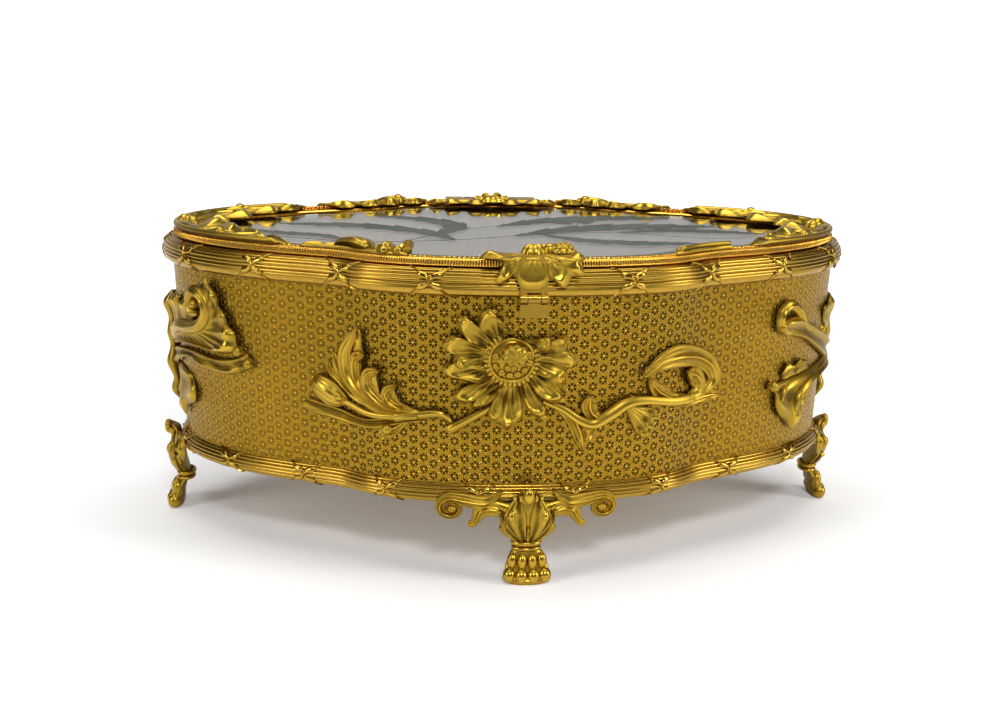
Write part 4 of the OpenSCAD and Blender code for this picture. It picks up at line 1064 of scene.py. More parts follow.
class CASKET_OT_lid_frame(Operator):
    """Build the lid frame with its cove, milled flutes and row of pearls"""

    bl_idname = "casket.lid_frame"
    bl_label = "Lid frame"

    def execute(self, context):
        sizes = context.scene.casket_sizes
        flutes = round(2 * HALF_GIRTH / (sizes.flute_pitch / MM))
        samples = flutes * 6
        s = round_box(samples)[:, None]
        cove = [[-6.4, 106.3], [-6.15, 106.9], [-5.5, 107.45], [-4.7, 107.75], [-4.15, 107.85]]
        face = [[-4.1, 108.05], [-4.1, 108.35], [-4.1, 109.1], [-4.15, 109.55], [-4.35, 109.85]]
        top = [[-4.6, 110.1], [-5.0, 110.28], [-5.5, 110.2], [-6.2, 109.95], [-7.3, 109.6]]
        inside = [[-8.6, 109.25], [-9.4, 108.95], [-9.6, 108.6], [-9.5, 108.2], [-7.6, 108.2]]
        inside += [[-7.6, 104.2], [-6.4, 104.2]]
        profile = np.array(cove + face + top + inside)
        # The flutes are cut into the upright face, and half as deep into the first point above it
        cut = np.zeros(len(profile))
        cut[6:9], cut[9] = 1.0, 0.5
        flute_deep = 0.3
        wave = cut[None, :] * (0.5 - 0.5 * np.cos(2 * math.pi * flutes * s / (2 * HALF_GIRTH)))
        grid = stack(*plan(turn_at(s), profile[None, :, 0] - flute_deep * wave), profile[None, :, 1])
        # Darker in the grooves of the flutes: patina with painted shade
        shade = 0.6 - 0.5 * wave
        half = np.arange(samples // 2 + 1)
        for name, part in (("front", half), ("back", np.arange(samples // 2, samples + 1) % samples)):
            shells = Shells()
            shells.loft(grid[part], shade[part])
            name = "lid_band_" + name
            add_shells(name, shells, FINISH["red"], "lid", "bright_gilding", "lid_frame", sharp=40)

        count = round(2 * HALF_GIRTH / (sizes.pearl_pitch / MM))
        shells = Shells()
        a = full_turn(8)[None, :]
        lat = np.radians(np.array([-80, -40, 0, 40, 80]))[:, None]
        out, in_line, height, radius = 0.74, -5.9, 110.35, 0.68
        for i in range(count):
            along = -HALF_GIRTH + (i + 0.5) * 2 * HALF_GIRTH / count + out * np.cos(lat) * np.cos(a)
            x, y = plan(turn_at(along), in_line + radius * np.cos(lat) * np.sin(a))
            # Painted light: each pearl lighter on top and darker underneath
            z = height + radius * np.sin(lat) + 0 * a
            shells.loft(stack(x, y, z), np.clip(0.6 + 0.4 * np.sin(lat) + 0 * a, 0, 1))
        add_shells("lid_pearls", shells, FINISH["red"], "lid", "bright_gilding")
        return {"FINISHED"}


def feather(shells, face, spine, width, teeth=7):
    """Flat frond: a long oval whose edge is cut into teeth that lean towards the tip."""
    rows, columns = 96, 11
    t = np.linspace(0, 1, rows)[:, None]
    w = np.linspace(-1, 1, columns)[None, :]
    saw = (teeth * t + 0.5 * (w > 0)) % 1.0
    half = width * np.sin(math.pi * (0.04 + 0.93 * t)) ** 0.8 * (0.6 + 0.4 * saw)
    length = spine_at(spine, np.array([0.0]))[4]
    swept = np.clip(t + 0.9 * np.abs(w) * half / length, 0, 1)
    x, y, nx, ny, _ = spine_at(spine, swept)
    x, y = x + nx * w * half, y + ny * w * half
    top = face(x, y, 1 - w**2 + 0 * t)
    bottom = face(x[:, -2:0:-4], y[:, -2:0:-4], -0.5 + 0 * t)
    shells.loft(np.concatenate([top, bottom], axis=1))


ETCH_LIFT = 0.02
ETCH_RELIEF = 0.03


class CASKET_OT_glass(Operator):
    """Build the bevelled glass and the etched spray on it"""

    bl_idname = "casket.glass"
    bl_label = "Glass"

    def execute(self, context):
        turn = turn_at(round_box(360))
        edge, chamfer, arris, rim = GLASS_OFF, 0.2, 0.15, 0.4
        levels = [
            (edge + chamfer, GLASS_BOTTOM), (edge, GLASS_BOTTOM + chamfer),
            (edge, GLASS_EDGE_TOP - arris), (edge - arris, GLASS_EDGE_TOP)
        ]
        levels += [(edge - BEVEL_W, GLASS_TOP), (edge - BEVEL_W - rim, GLASS_TOP)]
        rings = [stack(*plan(turn, off), z) for off, z in levels]
        shares = [np.array([k, k, 1]) for k in (0.8, 0.6, 0.4, 0.2, 0.004)]
        top = [rings[-1] * share for share in shares]
        bottom = [rings[0] * share for share in shares[::-1]]
        shells = Shells()
        shells.loft(np.stack(bottom + rings + top))
        add_shells("bevelled_glass", shells, FINISH["glass"], "lid", "etched_glass", "lid_glass", sharp=4)

        def on_glass(x, y, h):
            return stack(x, y, GLASS_TOP + ETCH_LIFT + 0 * x + ETCH_RELIEF * np.clip(h, 0, 1))

        shells = Shells()
        # One arching stem with a thin offshoot, broad feathered fronds and an open flower
        stem = [[-96, -16], [-60, -34], [-22, -30], [10, -14], [40, -10], [70, -22], [92, -20]]
        tube(shells, on_glass, stem, 0.5, rise=0.1, base=0, rows=60, columns=8)
        tube(
            shells, on_glass, [[-40, -33], [-24, -10], [-6, 6], [14, 14]], 0.4, rise=0.1, base=0, rows=40,
            columns=8
        )
        fronds = (
            ([[-22, -30], [-34, -8], [-58, 8], [-88, 12]], 7.5),
            ([[-30, -20], [-20, 6], [-30, 26], [-52, 38]], 7.0),
            ([[-4, 6], [16, 24], [42, 34], [70, 34]], 9.0),
            ([[0, -20], [22, -2], [48, 8], [84, 10]], 10.0),
            ([[10, -14], [26, -30], [46, -36], [66, -36]], 6.5),
            ([[40, -10], [60, -2], [78, -4], [98, -10]], 6.0),
            ([[-60, -34], [-70, -20], [-84, -14], [-100, -4]], 5.0)
        )
        for spine, width in fronds:
            feather(shells, on_glass, spine, width)
        root = np.array([26.0, 24.0])
        for k in range(6):
            turn = 2 * math.pi * k / 6 + 0.3
            way = np.array([math.cos(turn), 0.8 * math.sin(turn)])
            feather(shells, on_glass, [root + 1.5 * way, root + 7 * way, root + 12 * way], 4.4, 3)
        add_shells("etched_spray", shells, FINISH["etch"], "lid", "etched_glass")
        return {"FINISHED"}


FLOWER = (-6.5, 11.5)


def flower_mount(shells, face):
    """Open flower: lobed petals in two layers, a collar of sepals, a rimmed disc and a furled bud."""
    # Inner edge, outline, base, fine grooves
    petals = (
        (
            [[-9, 5], [-10.4, 5.8]],
            [[-9.4, 0.6], [-14.3, -4], [-19.5, -5.4], [-19, -3], [-14, 0.4], [-11, 4.2]], 0.3, 4
        ),
        (
            [[-2.6, 7], [-4, 5.8]],
            [
                [0, 3.4], [0.7, 0.6], [3.3, -3], [5.6, -5.9], [5.6, -8.2], [3.1, -9], [-0.3, -6.2],
                [-2.7, -1.4], [-4, 2.9]
            ],
            0.3, 5
        ),
        (
            [[-11.6, 7], [-12.6, 9], [-12.8, 11]],
            [
                [-12.6, 5.2], [-18.5, 3.4], [-23.4, 4.3], [-28.4, 5.2], [-29.6, 7.4], [-28.6, 9.8],
                [-25, 10.2], [-20.4, 9.4], [-14.6, 8.4]
            ],
            0.3, 9
        ),
        (
            [[-1.8, 16.4], [-2.8, 17.4], [-4.4, 18]],
            [[0, 15.4], [3.4, 14.6], [6.8, 16.8], [5.6, 19.4], [1.6, 18.2], [-3, 18.6]], 0.3, 6
        ),
        (
            [[-4.4, 5.4], [-6.6, 5.0], [-8.8, 5.6]],
            [
                [-4.2, 3], [-2.7, -4.2], [-2.6, -8.6], [-5.4, -11], [-7.8, -13.2], [-10, -10.6],
                [-13, -10.2], [-14.4, -7.4], [-13.3, -4.2], [-11.3, 1.1], [-9.8, 4.4]
            ],
            0.7, 12
        ),
        (
            [[-12.6, 13.6], [-11, 16], [-8.6, 17.4]],
            [
                [-14, 15], [-20, 16.2], [-23.4, 20.4], [-24.6, 24.4], [-21.8, 26.6], [-19.2, 23.8],
                [-18.2, 21.4], [-17.2, 26.6], [-14, 29], [-12, 28.2], [-12.2, 25.4]
            ] + [[-10.4, 26], [-9, 24], [-9.6, 20.4], [-8, 17.8]],
            0.5, 13
        ),
        (
            [[-1.0, 9.6], [-1.6, 7.6]],
            [
                [1.3, 7.4], [6.2, 5.8], [9.8, 6.4], [11.8, 4], [10.2, 1], [11.4, -2], [8, -3.4],
                [3.7, -1.8], [0.4, 2.4], [-1.4, 5.4]
            ],
            0.8, 9
        ),
        (
            [[-10, 5.4], [-11.4, 6.8]],
            [
                [-10.6, 2.4], [-16.7, -1.4], [-20.4, -3.5], [-24.6, -3.2], [-26, -0.8], [-23.2, 1.8],
                [-18.5, 2.4], [-12.6, 4.8]
            ],
            0.8, 6
        ),
        (
            [[-1.6, 15], [-0.6, 12.6], [-0.8, 10]],
            [
                [-1, 17], [3.7, 14.2], [6.6, 15.6], [8.6, 19.4], [11.6, 19.2], [12.2, 15], [15, 12.6],
                [15.2, 9.2], [12, 8.4], [10.6, 5], [6, 5.2], [1.3, 6.6]
            ],
            0.9, 14
        ),
        (
            [[-12.6, 11], [-12.9, 13.4], [-12.2, 15.4]],
            [
                [-14.3, 7.4], [-19.2, 8.2], [-23.6, 8.2], [-26.2, 10.2], [-25.4, 13], [-28.6, 14],
                [-29.2, 17.4], [-26.6, 19.6], [-22.8, 18.9], [-19.2, 16.4], [-14.9, 14]
            ],
            1.2, 12
        )
    )
    form = dict(
        lift=1.5, cup=0.32, ridge=0.35, lip=0.42, lip_at=0.86, lip_width=0.07, rows=96, columns=37
    )
    for near, far, base, veins in petals:
        spread(shells, face, near, far, 3.2, base=base, veins=veins, **form)
    # Lumps at the petals' tips: place, size, base
    tips = ((-28, 16.4, 1.2, 3.6), (-23.4, 25, 1.0, 2.8), (-12.6, 28, 1.0, 2.8))
    tips += ((4.6, -8.2, 1.1, 2.4), (10.6, -2.2, 1.1, 2.8), (10.4, 5.2, 0.9, 2.8))
    for x, y, size, base in tips:
        dome(shells, face, (x, y), size * 1.2, size, 1.4, base=base, columns=20, rows=8)
    dome(shells, face, FLOWER, 7.7, 7.5, 2.2, base=1.6, columns=48)
    tube(shells, face, ring_line(FLOWER, 7.3, 7.1), 0.55, rise=1.0, base=2.2, rows=72, columns=10)
    centre = np.array(FLOWER)
    for k in range(26):
        turn = math.radians(120 + 10.5 * k)
        way = np.array([math.cos(turn), math.sin(turn)])
        spine = [centre + far * way for far in (6.9, 8.6, 9.8)]
        tube(shells, face, spine, 0.75, EGG, rise=0.9, base=1.9, rows=10, columns=8)
    # Bud: a ribbed crown above the middle, with rounded lumps round its lower side
    crown = (FLOWER[0] + 1.0, FLOWER[1] + 2.0)
    dome(
        shells, face, crown, 4.6, 4.1, 3.9, pleats=9, depth=0.05, twist=0.3, base=2.8, columns=72, rows=22
    )
    for ring, count in ((0.0, 1), (0.4, 6), (0.75, 11)):
        for k in range(count):
            turn = 2 * math.pi * (k + 0.5) / count
            place = (crown[0] + 4.3 * ring * math.cos(turn), crown[1] + 3.8 * ring * math.sin(turn))
            base = 2.5 + 3.9 * math.sqrt(1 - ring**2)
            dome(shells, face, place, 1.15, 1.0, 0.8, base=base, rows=6, columns=12)
    # Lumps: turn in degrees, distance from the middle, size, base
    lumps = ((165, 5.4, 1.7, 2.6), (200, 5.6, 1.5, 2.7), (232, 5.2, 1.6, 2.7), (262, 5.0, 1.5, 2.8))
    lumps += ((292, 5.0, 1.6, 2.7), (322, 5.2, 1.5, 2.7), (352, 5.6, 1.7, 2.5), (25, 5.8, 1.4, 2.5))
    lumps += ((240, 2.6, 1.5, 3.6), (285, 2.4, 1.4, 3.7))
    for turn, radius, size, base in lumps:
        a = math.radians(turn)
        place = (FLOWER[0] + radius * math.cos(a), FLOWER[1] + radius * math.sin(a))
        dome(shells, face, place, size, size * 0.9, 1.9, base=base, columns=20, rows=10)


def fingers(shells, face, rows, forms):
    """Long leaves: spine, half width, height, side lobes, base and lift of each."""
    look = dict(reeds=1, lip=0.35, hollow=0.36, rows=rows)
    for spine, width, height, lobes, base, lift in forms:
        leaf(shells, face, spine, width, height, sides=lobes, base=base, lift=lift, **look)


def left_spray_mount(shells, face):
    """Jointed stem that opens into long fingers, with a closed bud and a small berry."""
    tube(
        shells, face, [[-11.5, -4.2], [-20.5, -9.5], [-27.4, -13.2]], 1.45,
        ([0, 0.6, 0.97, 1], [0.75, 1, 1.2, 0.5]), rise=0.8, flutes=3, depth=0.06
    )
    tube(
        shells, face, [[-26.2, -11.6], [-28.4, -8.8], [-32.4, -7.9], [-46, -10]], 1.3,
        ([0, 0.3, 1], [0.5, 1, 1.3]), rise=0.9, flutes=3, depth=0.06
    )
    forms = (
        (
            [
                [-38, -8.6], [-50, -8.2], [-60, -3.6], [-65.6, 2.4], [-66.4, 9.4], [-63.2, 15],
                [-60.2, 19.6]
            ],
            3.2, 2.4, 0, 1.3, 1.4
        ),
        ([[-58, -4], [-61.6, 1], [-62.6, 6], [-61, 9.4], [-57.4, 10.6]], 2.6, 2.8, 0, 1.4, 1.2),
        (
            [[-40, -8], [-50, -6.4], [-56, -2.4], [-57.6, 1.4], [-55.6, 4.8], [-51.4, 5.6]], 2.7, 2.8, 0,
            1.2, 1.2
        ),
        ([[-36, -8.4], [-44.6, -6.8], [-49, -4], [-48.8, -1], [-45.4, 1.4]], 2.4, 2.6, 0, 1.1, 1.0),
        ([[-46, -8.6], [-60, -4.2], [-68.4, 2], [-71.4, 10]], 2.3, 2.6, 0, 0.3, 0.9),
        ([[-50, -9], [-64, -5], [-71, 0.6], [-74, 6.4]], 1.9, 2.4, 0, 0.25, 0.6),
        ([[-41, -10.6], [-47, -14], [-53.8, -18.2]], 2.7, 2.4, 0, 0.25, 0.2)
    )
    fingers(shells, face, 56, forms)
    near = [
        [-34, -9], [-43, -9.2], [-50, -9], [-56.5, -8], [-62, -5.7], [-65.8, -2.8], [-67.8, 1.2],
        [-68.8, 4]
    ]
    far = [
        [-34, -8.4], [-41, -7.6], [-45, -5.6], [-46.9, -2.4], [-45.6, 1], [-49.4, -1], [-51.6, -4],
        [-54.2, -2.6], [-54.9, 0.8], [-51.8, 5.6]
    ]
    far += [
        [-55.8, 4.8], [-58.4, 1.6], [-61.4, 2], [-63, 4.6], [-62, 8], [-57.6, 10.4], [-59.4, 12],
        [-60.2, 14.6], [-59, 18], [-60.6, 19.6]
    ]
    far += [[-64.2, 17.6], [-67.4, 13.6], [-69.2, 8.8]]
    form = dict(cup=0.3, ridge=0.5, lip=0.3, lip_at=0.88, lip_width=0.06, rows=150, columns=43)
    spread(shells, face, near, far, 2.4, base=0.4, lift=1.0, **form)
    near = [
        [-36, -9.6], [-41.5, -9.8], [-52.6, -11.1], [-58.8, -12], [-64.6, -11.6], [-69.6, -10.2],
        [-74.3, -9.2], [-78.5, -8.6], [-82.4, -8.2]
    ]
    far = [
        [-36, -10.4], [-42.2, -11.8], [-53, -15], [-58.8, -15.6], [-66.5, -15.4], [-73.5, -14.4],
        [-78.9, -13.5], [-83.1, -11.9], [-84.9, -9.8]
    ]
    spread(shells, face, near, far, 2.8, base=0.3, lift=0.4, cup=0.35, ridge=0, lip=0.25)
    tube(
        shells, face, [[-38, -9], [-46, -9.9], [-57, -9.9], [-68.2, -7.2]], 1.15, ([0, 1], [1, 0.9]),
        base=1.0, flutes=2, depth=0.05
    )
    tube(
        shells, face, [[-67.4, -7.7], [-73.6, -3.9], [-79.8, -0.6]], 4.2, EGG, rise=0.62, flutes=11,
        depth=0.05, base=0.3, columns=66
    )
    for side, base in ((-1, 3.4), (1, 3.0)):
        spine = [[-68, -7.3], [-71.6, -4.6 - 1.6 * side], [-75.6, -2.6 - 1.4 * side]]
        leaf(shells, face, spine, 1.7, 1.4, base=base, lip=0.1, rows=20, columns=15)
    dome(shells, face, (-69.2, -5.8), 2.0, 1.6, 1.6, pleats=3, depth=0.2, base=3.4, columns=30)
    dome(shells, face, (-49.4, -14.6), 2.1, 2.1, 2.6, base=1.2, columns=24)


def right_spray_mount(shells, face):
    """Dipping stem with thorn leaves, a hanging fan and a leaf that curls back on itself."""
    spine = [
        [4.5, -3], [11.4, -6], [17.4, -10.1], [22.6, -11.4], [28, -8.4], [33.8, -5], [41, -4.4], [53, -6],
        [63, -6.4]
    ]
    tube(
        shells, face, spine, 1.6, ([0, 0.3, 0.45, 0.7, 1], [0.6, 1.1, 1.35, 1, 1.2]), rise=0.85, flutes=3,
        depth=0.07, rows=90
    )
    forms = (
        ([[8, -4.4], [14.6, -9], [17.6, -14], [19, -20.8]], 3.0, 2.6, 0, 0.25, 0.4),
        ([[25.6, -10], [21, -13.6], [19.6, -18]], 2.8, 2.4, 0, 0.5, 0.2),
        ([[27, -9.4], [22.6, -8.6], [20.6, -5.4], [20.8, -1.2]], 3.0, 2.8, 0, 0.4, 0.6),
        ([[50, -6], [62, -7.4], [72, -6.6], [78.4, -7.2]], 2.6, 2.8, 0, 0.3, 0.4),
        (
            [
                [60, -6.4], [68.4, -6.6], [74.4, -1.6], [72.2, 4.2], [64.4, 8.4], [54, 9.6], [46, 7.8],
                [39.2, 4]
            ],
            4.2, 3.2, 1, 0.4, 1.0
        ),
        ([[63, -5.6], [68, -3], [65.6, 1], [60, 3.6]], 3.4, 2.8, 0, 0.9, 0.6),
        ([[60, -5.2], [52, -4.4], [45.6, -0.8], [42.4, 3]], 2.8, 2.6, 0, 0.3, 0.6)
    )
    fingers(shells, face, 60, forms)
    petal(shells, face, [[34.4, -5.4], [39, -9.4], [45.4, -14.2]], 5.6, 3, 2.6, 6)


# Smooth band with a faint trough
BAND = dict(outline=STRAP, reeds=0, hollow=0.12, lip=0)


def end_mount(shells, face):
    """Acanthus round one end: a knotted rib, a half palmette round a scroll to one side, and to the other
    an upper leaf with a rolled end and a drooping leaf."""

    def moved(points):
        return [[p[0] + END_S, p[1]] for p in points]

    def broad(near, far, height, **form):
        spread(shells, face, moved(near), moved(far), height, **form)

    def band(points, width, height, **form):
        leaf(shells, face, moved(points), width, height, **{**BAND, **form})

    def ball(x, y, size, rise, base):
        dome(shells, face, (END_S + x, y), size, size, rise, base=base, columns=24, rows=12)

    knots = ([0, 0.1, 0.22, 0.36, 0.5, 0.62, 0.76, 0.9, 1], [0.4, 1, 0.75, 1.15, 0.8, 1.0, 0.8, 1.1, 0.4])
    tube(
        shells, face, moved([[-1, -24], [1, -8], [-1, 6], [0, 19]]), 2.9, knots, rise=0.8, base=0.6,
        rows=70
    )
    # Leaves beside the rib, half hidden
    broad(
        [[2, 2], [10, 6], [20, 8], [30, 12]],
        [[3, 15], [8, 20], [12, 17.6], [18, 21.6], [23, 18.6], [29, 21], [34, 17.6], [39, 17]], 2.6,
        veins=14
    )
    broad(
        [[0, -8], [14, -6.4], [26, -8]],
        [[4, -22], [12, -20], [18, -25.6], [23, -20.6], [30, -18], [31, -12]], 2.4, veins=10
    )
    broad(
        [[-2, 2], [-14, 6], [-26, 11]],
        [[-3, 15], [-8, 20], [-13, 17], [-20, 20.6], [-25, 18], [-31, 18]], 2.4, veins=12
    )
    # Lower leaf of the palmette, then its lobes round the scroll
    low_near = [[4, -2], [18, 1.0], [32, 2.2], [46, 1.4], [56, 2.8], [62, 5.2]]
    low_far = [[4, -9], [16, -4.4], [28, -1.6], [42, -3.6], [54, -3.6], [64.2, 0.2]]
    broad(low_near, low_far, 3.0, base=0.9, lift=0.3, cup=0.3, lip=0.1)
    near = [[8, 2], [20, 7.4], [31, 9.6], [39, 11], [44, 15], [44.4, 21], [41, 26]]
    far = [
        [14, 1.4], [28, 4.4], [42, 4.4], [52, 3.8], [59, 6.2], [57, 9.4], [58.6, 12.2], [53.4, 14.6],
        [54.2, 18.4]
    ]
    far += [[49.6, 20.6], [50.4, 25.6], [46.4, 27], [43.6, 32]]
    broad(near, far, 3.6, base=0.8, lift=1.2, cup=0.14, lip=0.45, lip_at=0.84, veins=16)
    band(
        [
            [8, 3], [20, 9.2], [31, 10.4], [39, 12.6], [43, 17.6], [41, 23], [35.6, 24.4], [32.2, 20.6],
            [34, 16.6], [38, 16.6]
        ],
        2.5, 3.2, base=1.7, rows=80
    )
    ball(37.0, 20.0, 1.8, 2.4, 2.4)
    ball(58.6, 5.6, 2.0, 2.6, 1.6)
    ball(62.4, 1.4, 2.1, 2.4, 1.0)
    # Upper leaf with its rolled end
    broad(
        [[-2, -6], [-20, -3.4], [-35, 2.4], [-46, 7.6], [-56, 10.2], [-62, 11.6]],
        [[-2, 0], [-16, 3.4], [-30, 8.4], [-43, 13.4], [-53, 17.4], [-60, 17.2], [-64.8, 14.4]], 3.2,
        base=0.7, cup=0.3, lip=0.3
    )
    band(
        [[-57, 11.6], [-63, 14.6], [-63.6, 19.4], [-59.4, 22.2], [-54.4, 20.2], [-50, 15.4], [-44, 11]],
        2.0, 3.0, base=1.2
    )
    ball(-63.0, 14.4, 2.1, 2.6, 1.4)
    ball(-33, 9.6, 2.0, 2.6, 0.9)
    # Drooping leaf with a bright ridge and a small hooked leaf above its tip
    droop = [
        [-10, -7], [-26, -8], [-36.8, -10], [-43.4, -16], [-49, -27.6], [-54, -22.6], [-58.6, -20],
        [-62.4, -14.8], [-62.2, -10.6], [-66.4, -8.4]
    ]
    broad(
        [[-10, -2.8], [-30, -4.2], [-46, -5.6], [-57, -6.4], [-66.0, -7.0]], droop, 3.0, base=0.5,
        cup=0.3, lip=0.3
    )
    band(
        [[-12, -5], [-30, -7], [-42, -9.6], [-49, -15], [-50, -23]], 1.5, 2.6, outline=FINGER, hollow=0,
        base=1.7
    )
    band([[-34, -5.4], [-48, -7], [-57.4, -10], [-60, -15]], 1.5, 2.2, outline=FINGER, hollow=0, base=1.6)
    broad(
        [[-40, -4.4], [-50, -5.4], [-58, -6.2]],
        [[-42, -1.2], [-48, 0.6], [-52, -1.4], [-56, 0.2], [-60, -3.6]], 2.4, base=0.6
    )
    ball(-64.6, -7.6, 2.2, 2.8, 1.2)


def cast_all(body, pieces):
    """One casting for each name, maker, face and node."""
    for name, make, face, node in pieces:
        shells = Shells()
        make(shells, face)
        add_shells(name, shells, FINISH["cast"], body, "cast_gilding", node)


class CASKET_OT_wall_mounts(Operator):
    """Build the flower, the sprays and the end castings of the wall"""

    bl_idname = "casket.wall_mounts"
    bl_label = "Wall mounts"

    def execute(self, context):
        makers = {
            "flower": flower_mount, "left_spray": left_spray_mount, "right_spray": right_spray_mount
        }
        faces = (("front_", on_wall), ("back_", turned(on_wall)))
        pieces = []
        for place, face in faces:
            pieces += [
                ("cast_" + place + kind, make, face, place + kind) for kind, make in makers.items()
            ]
        for side, (_, face) in zip(("right", "left"), faces):
            pieces.append((f"cast_{side}_end", end_mount, face, side + "_end_acanthus"))
        cast_all("box", pieces)
        return {"FINISHED"}


def lid_bud_spray(shells, face):
    """Small spray that lies along the lip: leaves, a striped bud and a curled tip."""
    far = [
        [-43, 9], [-46.4, 16], [-48.4, 20.6], [-50.6, 13.4], [-54, 16.6], [-59, 22], [-61.4, 14],
        [-68, 15.4], [-76, 12.6], [-85, 6.6]
    ]
    spread(shells, face, [[-42, 5], [-54, 4.6], [-68, 4.8], [-84, 4.8]], far, 2.6, lift=1.2, lip=0.5)
    tube(
        shells, face, [[-60, 8], [-67.4, 10.4], [-75.4, 12.8]], 4.4, EGG, rise=0.5, flutes=9, depth=0.05,
        base=1.0, columns=48
    )
    tube(
        shells, face, [[-42.6, 6], [-45, 13], [-48.4, 20]], 1.7, ([0, 0.5, 0.9, 1], [1, 0.9, 1.5, 0.6]),
        rise=0.7, base=1.2
    )
    dome(shells, face, (-52, 6.6), 3.0, 2.6, 3.0, pleats=5, depth=0.14, base=1.0, columns=30)
    dome(shells, face, (-46.6, 6.4), 2.0, 1.8, 2.6, base=1.0, columns=24)


def lid_end_spray(shells, face):
    """Acanthus over one end of the lid: broad lobed leaves from a rib along the lip, laid over the glass."""

    def moved(side, points):
        return [[END_S + side * p[0], p[1]] for p in points]

    for side in (-1, 1):
        rib = moved(side, [[0, 5.4], [20, 5.2], [40, 5.0], [60, 5.2], [78, 5.6]])
        lobes = [
            [1, 17], [5, 22.6], [10, 24], [15, 21], [18, 16.6], [25, 19.6], [32, 23.6], [38, 22.8],
            [41, 17], [44, 14], [50, 17], [56, 19]
        ]
        lobes += [[60, 15.6], [61, 10.6], [66, 12.6], [71, 12], [75, 9], [79, 6.8]]
        spread(
            shells, face, rib, moved(side, lobes), 3.0, base=0.2, lift=1.3, ridge=0.6, lip=0.5, soften=40,
            rows=130
        )
        curl = moved(side, [[8, 7], [20, 9.6], [30, 9.8], [36, 13.4], [33, 17.4], [28.4, 15.4]])
        leaf(shells, face, curl, 2.6, 2.6, base=1.8, **BAND)
        leaf(
            shells, face, moved(side, [[38, 7], [50, 9.4], [59, 13.4], [64, 12.6]]), 2.4, 2.4, reeds=0,
            hollow=0.1, base=1.8
        )
        dome(shells, face, (END_S + side * 46, 7.4), 2.6, 2.2, 2.8, base=1.4, columns=24)
    tube(
        shells, face, moved(1, [[-76, 5.2], [-40, 5.0], [0, 5.4], [40, 5.0], [76, 5.2]]), 1.2, rise=0.9,
        rows=90
    )
    dome(shells, face, (END_S, 9.4), 4.6, 3.8, 3.4, pleats=7, depth=0.12, base=1.2, columns=42)


def lid_back_spray(shells, face):
    """Flower over the hinge with two leaves to each side."""
    up = 1.6
    lobes = [
        [3, 19], [7, 23], [11, 22.4], [14, 17.6], [18, 19], [22, 19], [23.6, 14], [27, 13.4], [30, 9]
    ]
    for side in (-1, 1):
        near, far = mirrored(side, [[2, 8], [14, 7], [29, 7.4]]), mirrored(side, lobes)
        spread(shells, face, near, far, 2.4, base=up - 0.6, lift=0.7, lip=0.4, ridge=0.5)
    root = np.array([0.0, 13.0])
    for k in range(5):
        turn = 2 * math.pi * k / 5 + 0.3
        way = np.array([math.cos(turn), 0.8 * math.sin(turn)])
        spine = [root + 2 * way, root + 6 * way, root + 9.6 * way]
        petal(shells, face, spine, 6.0, 2, 2.0, 2, base=up + 0.15 * (k % 2), lift=0.6, root=0.5)
    dome(shells, face, root, 4.6, 3.8, 2.2, pleats=7, depth=0.14, twist=0.4, base=up + 1.0)


def lid_runner(side):
    """Maker of the leaf runner along the back of the lid, to one side."""

    def make(shells, face):
        near = mirrored(side, [[29, 5], [50, 4.6], [70, 4.8], [84, 5.2]])
        far = [[31, 7], [34, 11], [39, 12], [43, 8.8], [47, 12.6], [52, 14], [55.6, 9.6], [59, 12.6]]
        far += [[64, 12.6], [67, 8.6], [71, 10.4], [76, 9.8], [80, 6.8], [85, 6.4]]
        far = mirrored(side, far)
        spread(shells, face, near, far, 2.8, lift=1.0, ridge=0.6, lip=0.5, soften=32, rows=110)
        spine = mirrored(side, [[40, 5.6], [50, 7], [58, 9.4], [64, 8]])
        leaf(shells, face, spine, 2.2, 2.2, outline=STRAP, reeds=0, hollow=0.1, lip=0, base=1.6)
        dome(shells, face, (side * 44, 7), 2.6, 2.2, 2.6, base=1.4, columns=24)

    return make


def lid_small_leaf(shells, face):
    """Small leaf and stem at the front right."""
    spread(
        shells, face, [[53, 4.6], [66, 4.6], [81, 4.8]],
        [[54, 7.4], [61, 11.6], [65, 7.6], [73, 12], [76.6, 7.6], [82, 6.4]], 2.4, ridge=0.6
    )
    tube(shells, face, [[56, 5.6], [64, 6.4], [72, 6.0], [80, 5.6]], 1.1, base=0.9)


class CASKET_OT_lid_mounts(Operator):
    """Build the castings that lie over the lid"""

    bl_idname = "casket.lid_mounts"
    bl_label = "Lid mounts"

    def execute(self, context):
        back = turned(on_lid)
        pieces = (
            ("cast_lid_bud_spray", lid_bud_spray, on_lid, "lid_bud_spray"),
            ("cast_lid_right", lid_end_spray, on_lid, "lid_right_acanthus"),
            ("cast_lid_left", lid_end_spray, back, "lid_left_acanthus"),
            ("cast_lid_back_flower", lid_back_spray, back, "lid_back_flower"),
            ("cast_lid_back_left", lid_runner(1), back, "lid_back_left_leaf"),
            ("cast_lid_back_right", lid_runner(-1), back, "lid_back_right_leaf"),
            ("cast_lid_front_right", lid_small_leaf, on_lid, "lid_front_right_leaf")
        )
        cast_all("lid", pieces)
        return {"FINISHED"}


def foot_place(number):
    """Place in the frame of a foot: x along the plan, u outward from the bead, z up."""
    reach = (BOX_D / 2 if number % 2 == 0 else BOX_W / 2) + BEAD_OFF
    c, s = math.cos(number * math.pi / 2), math.sin(number * math.pi / 2)

    def place(x, u, z):
        out = -reach - u
        return stack(x * c - out * s, x * s + out * c, z)

    return place


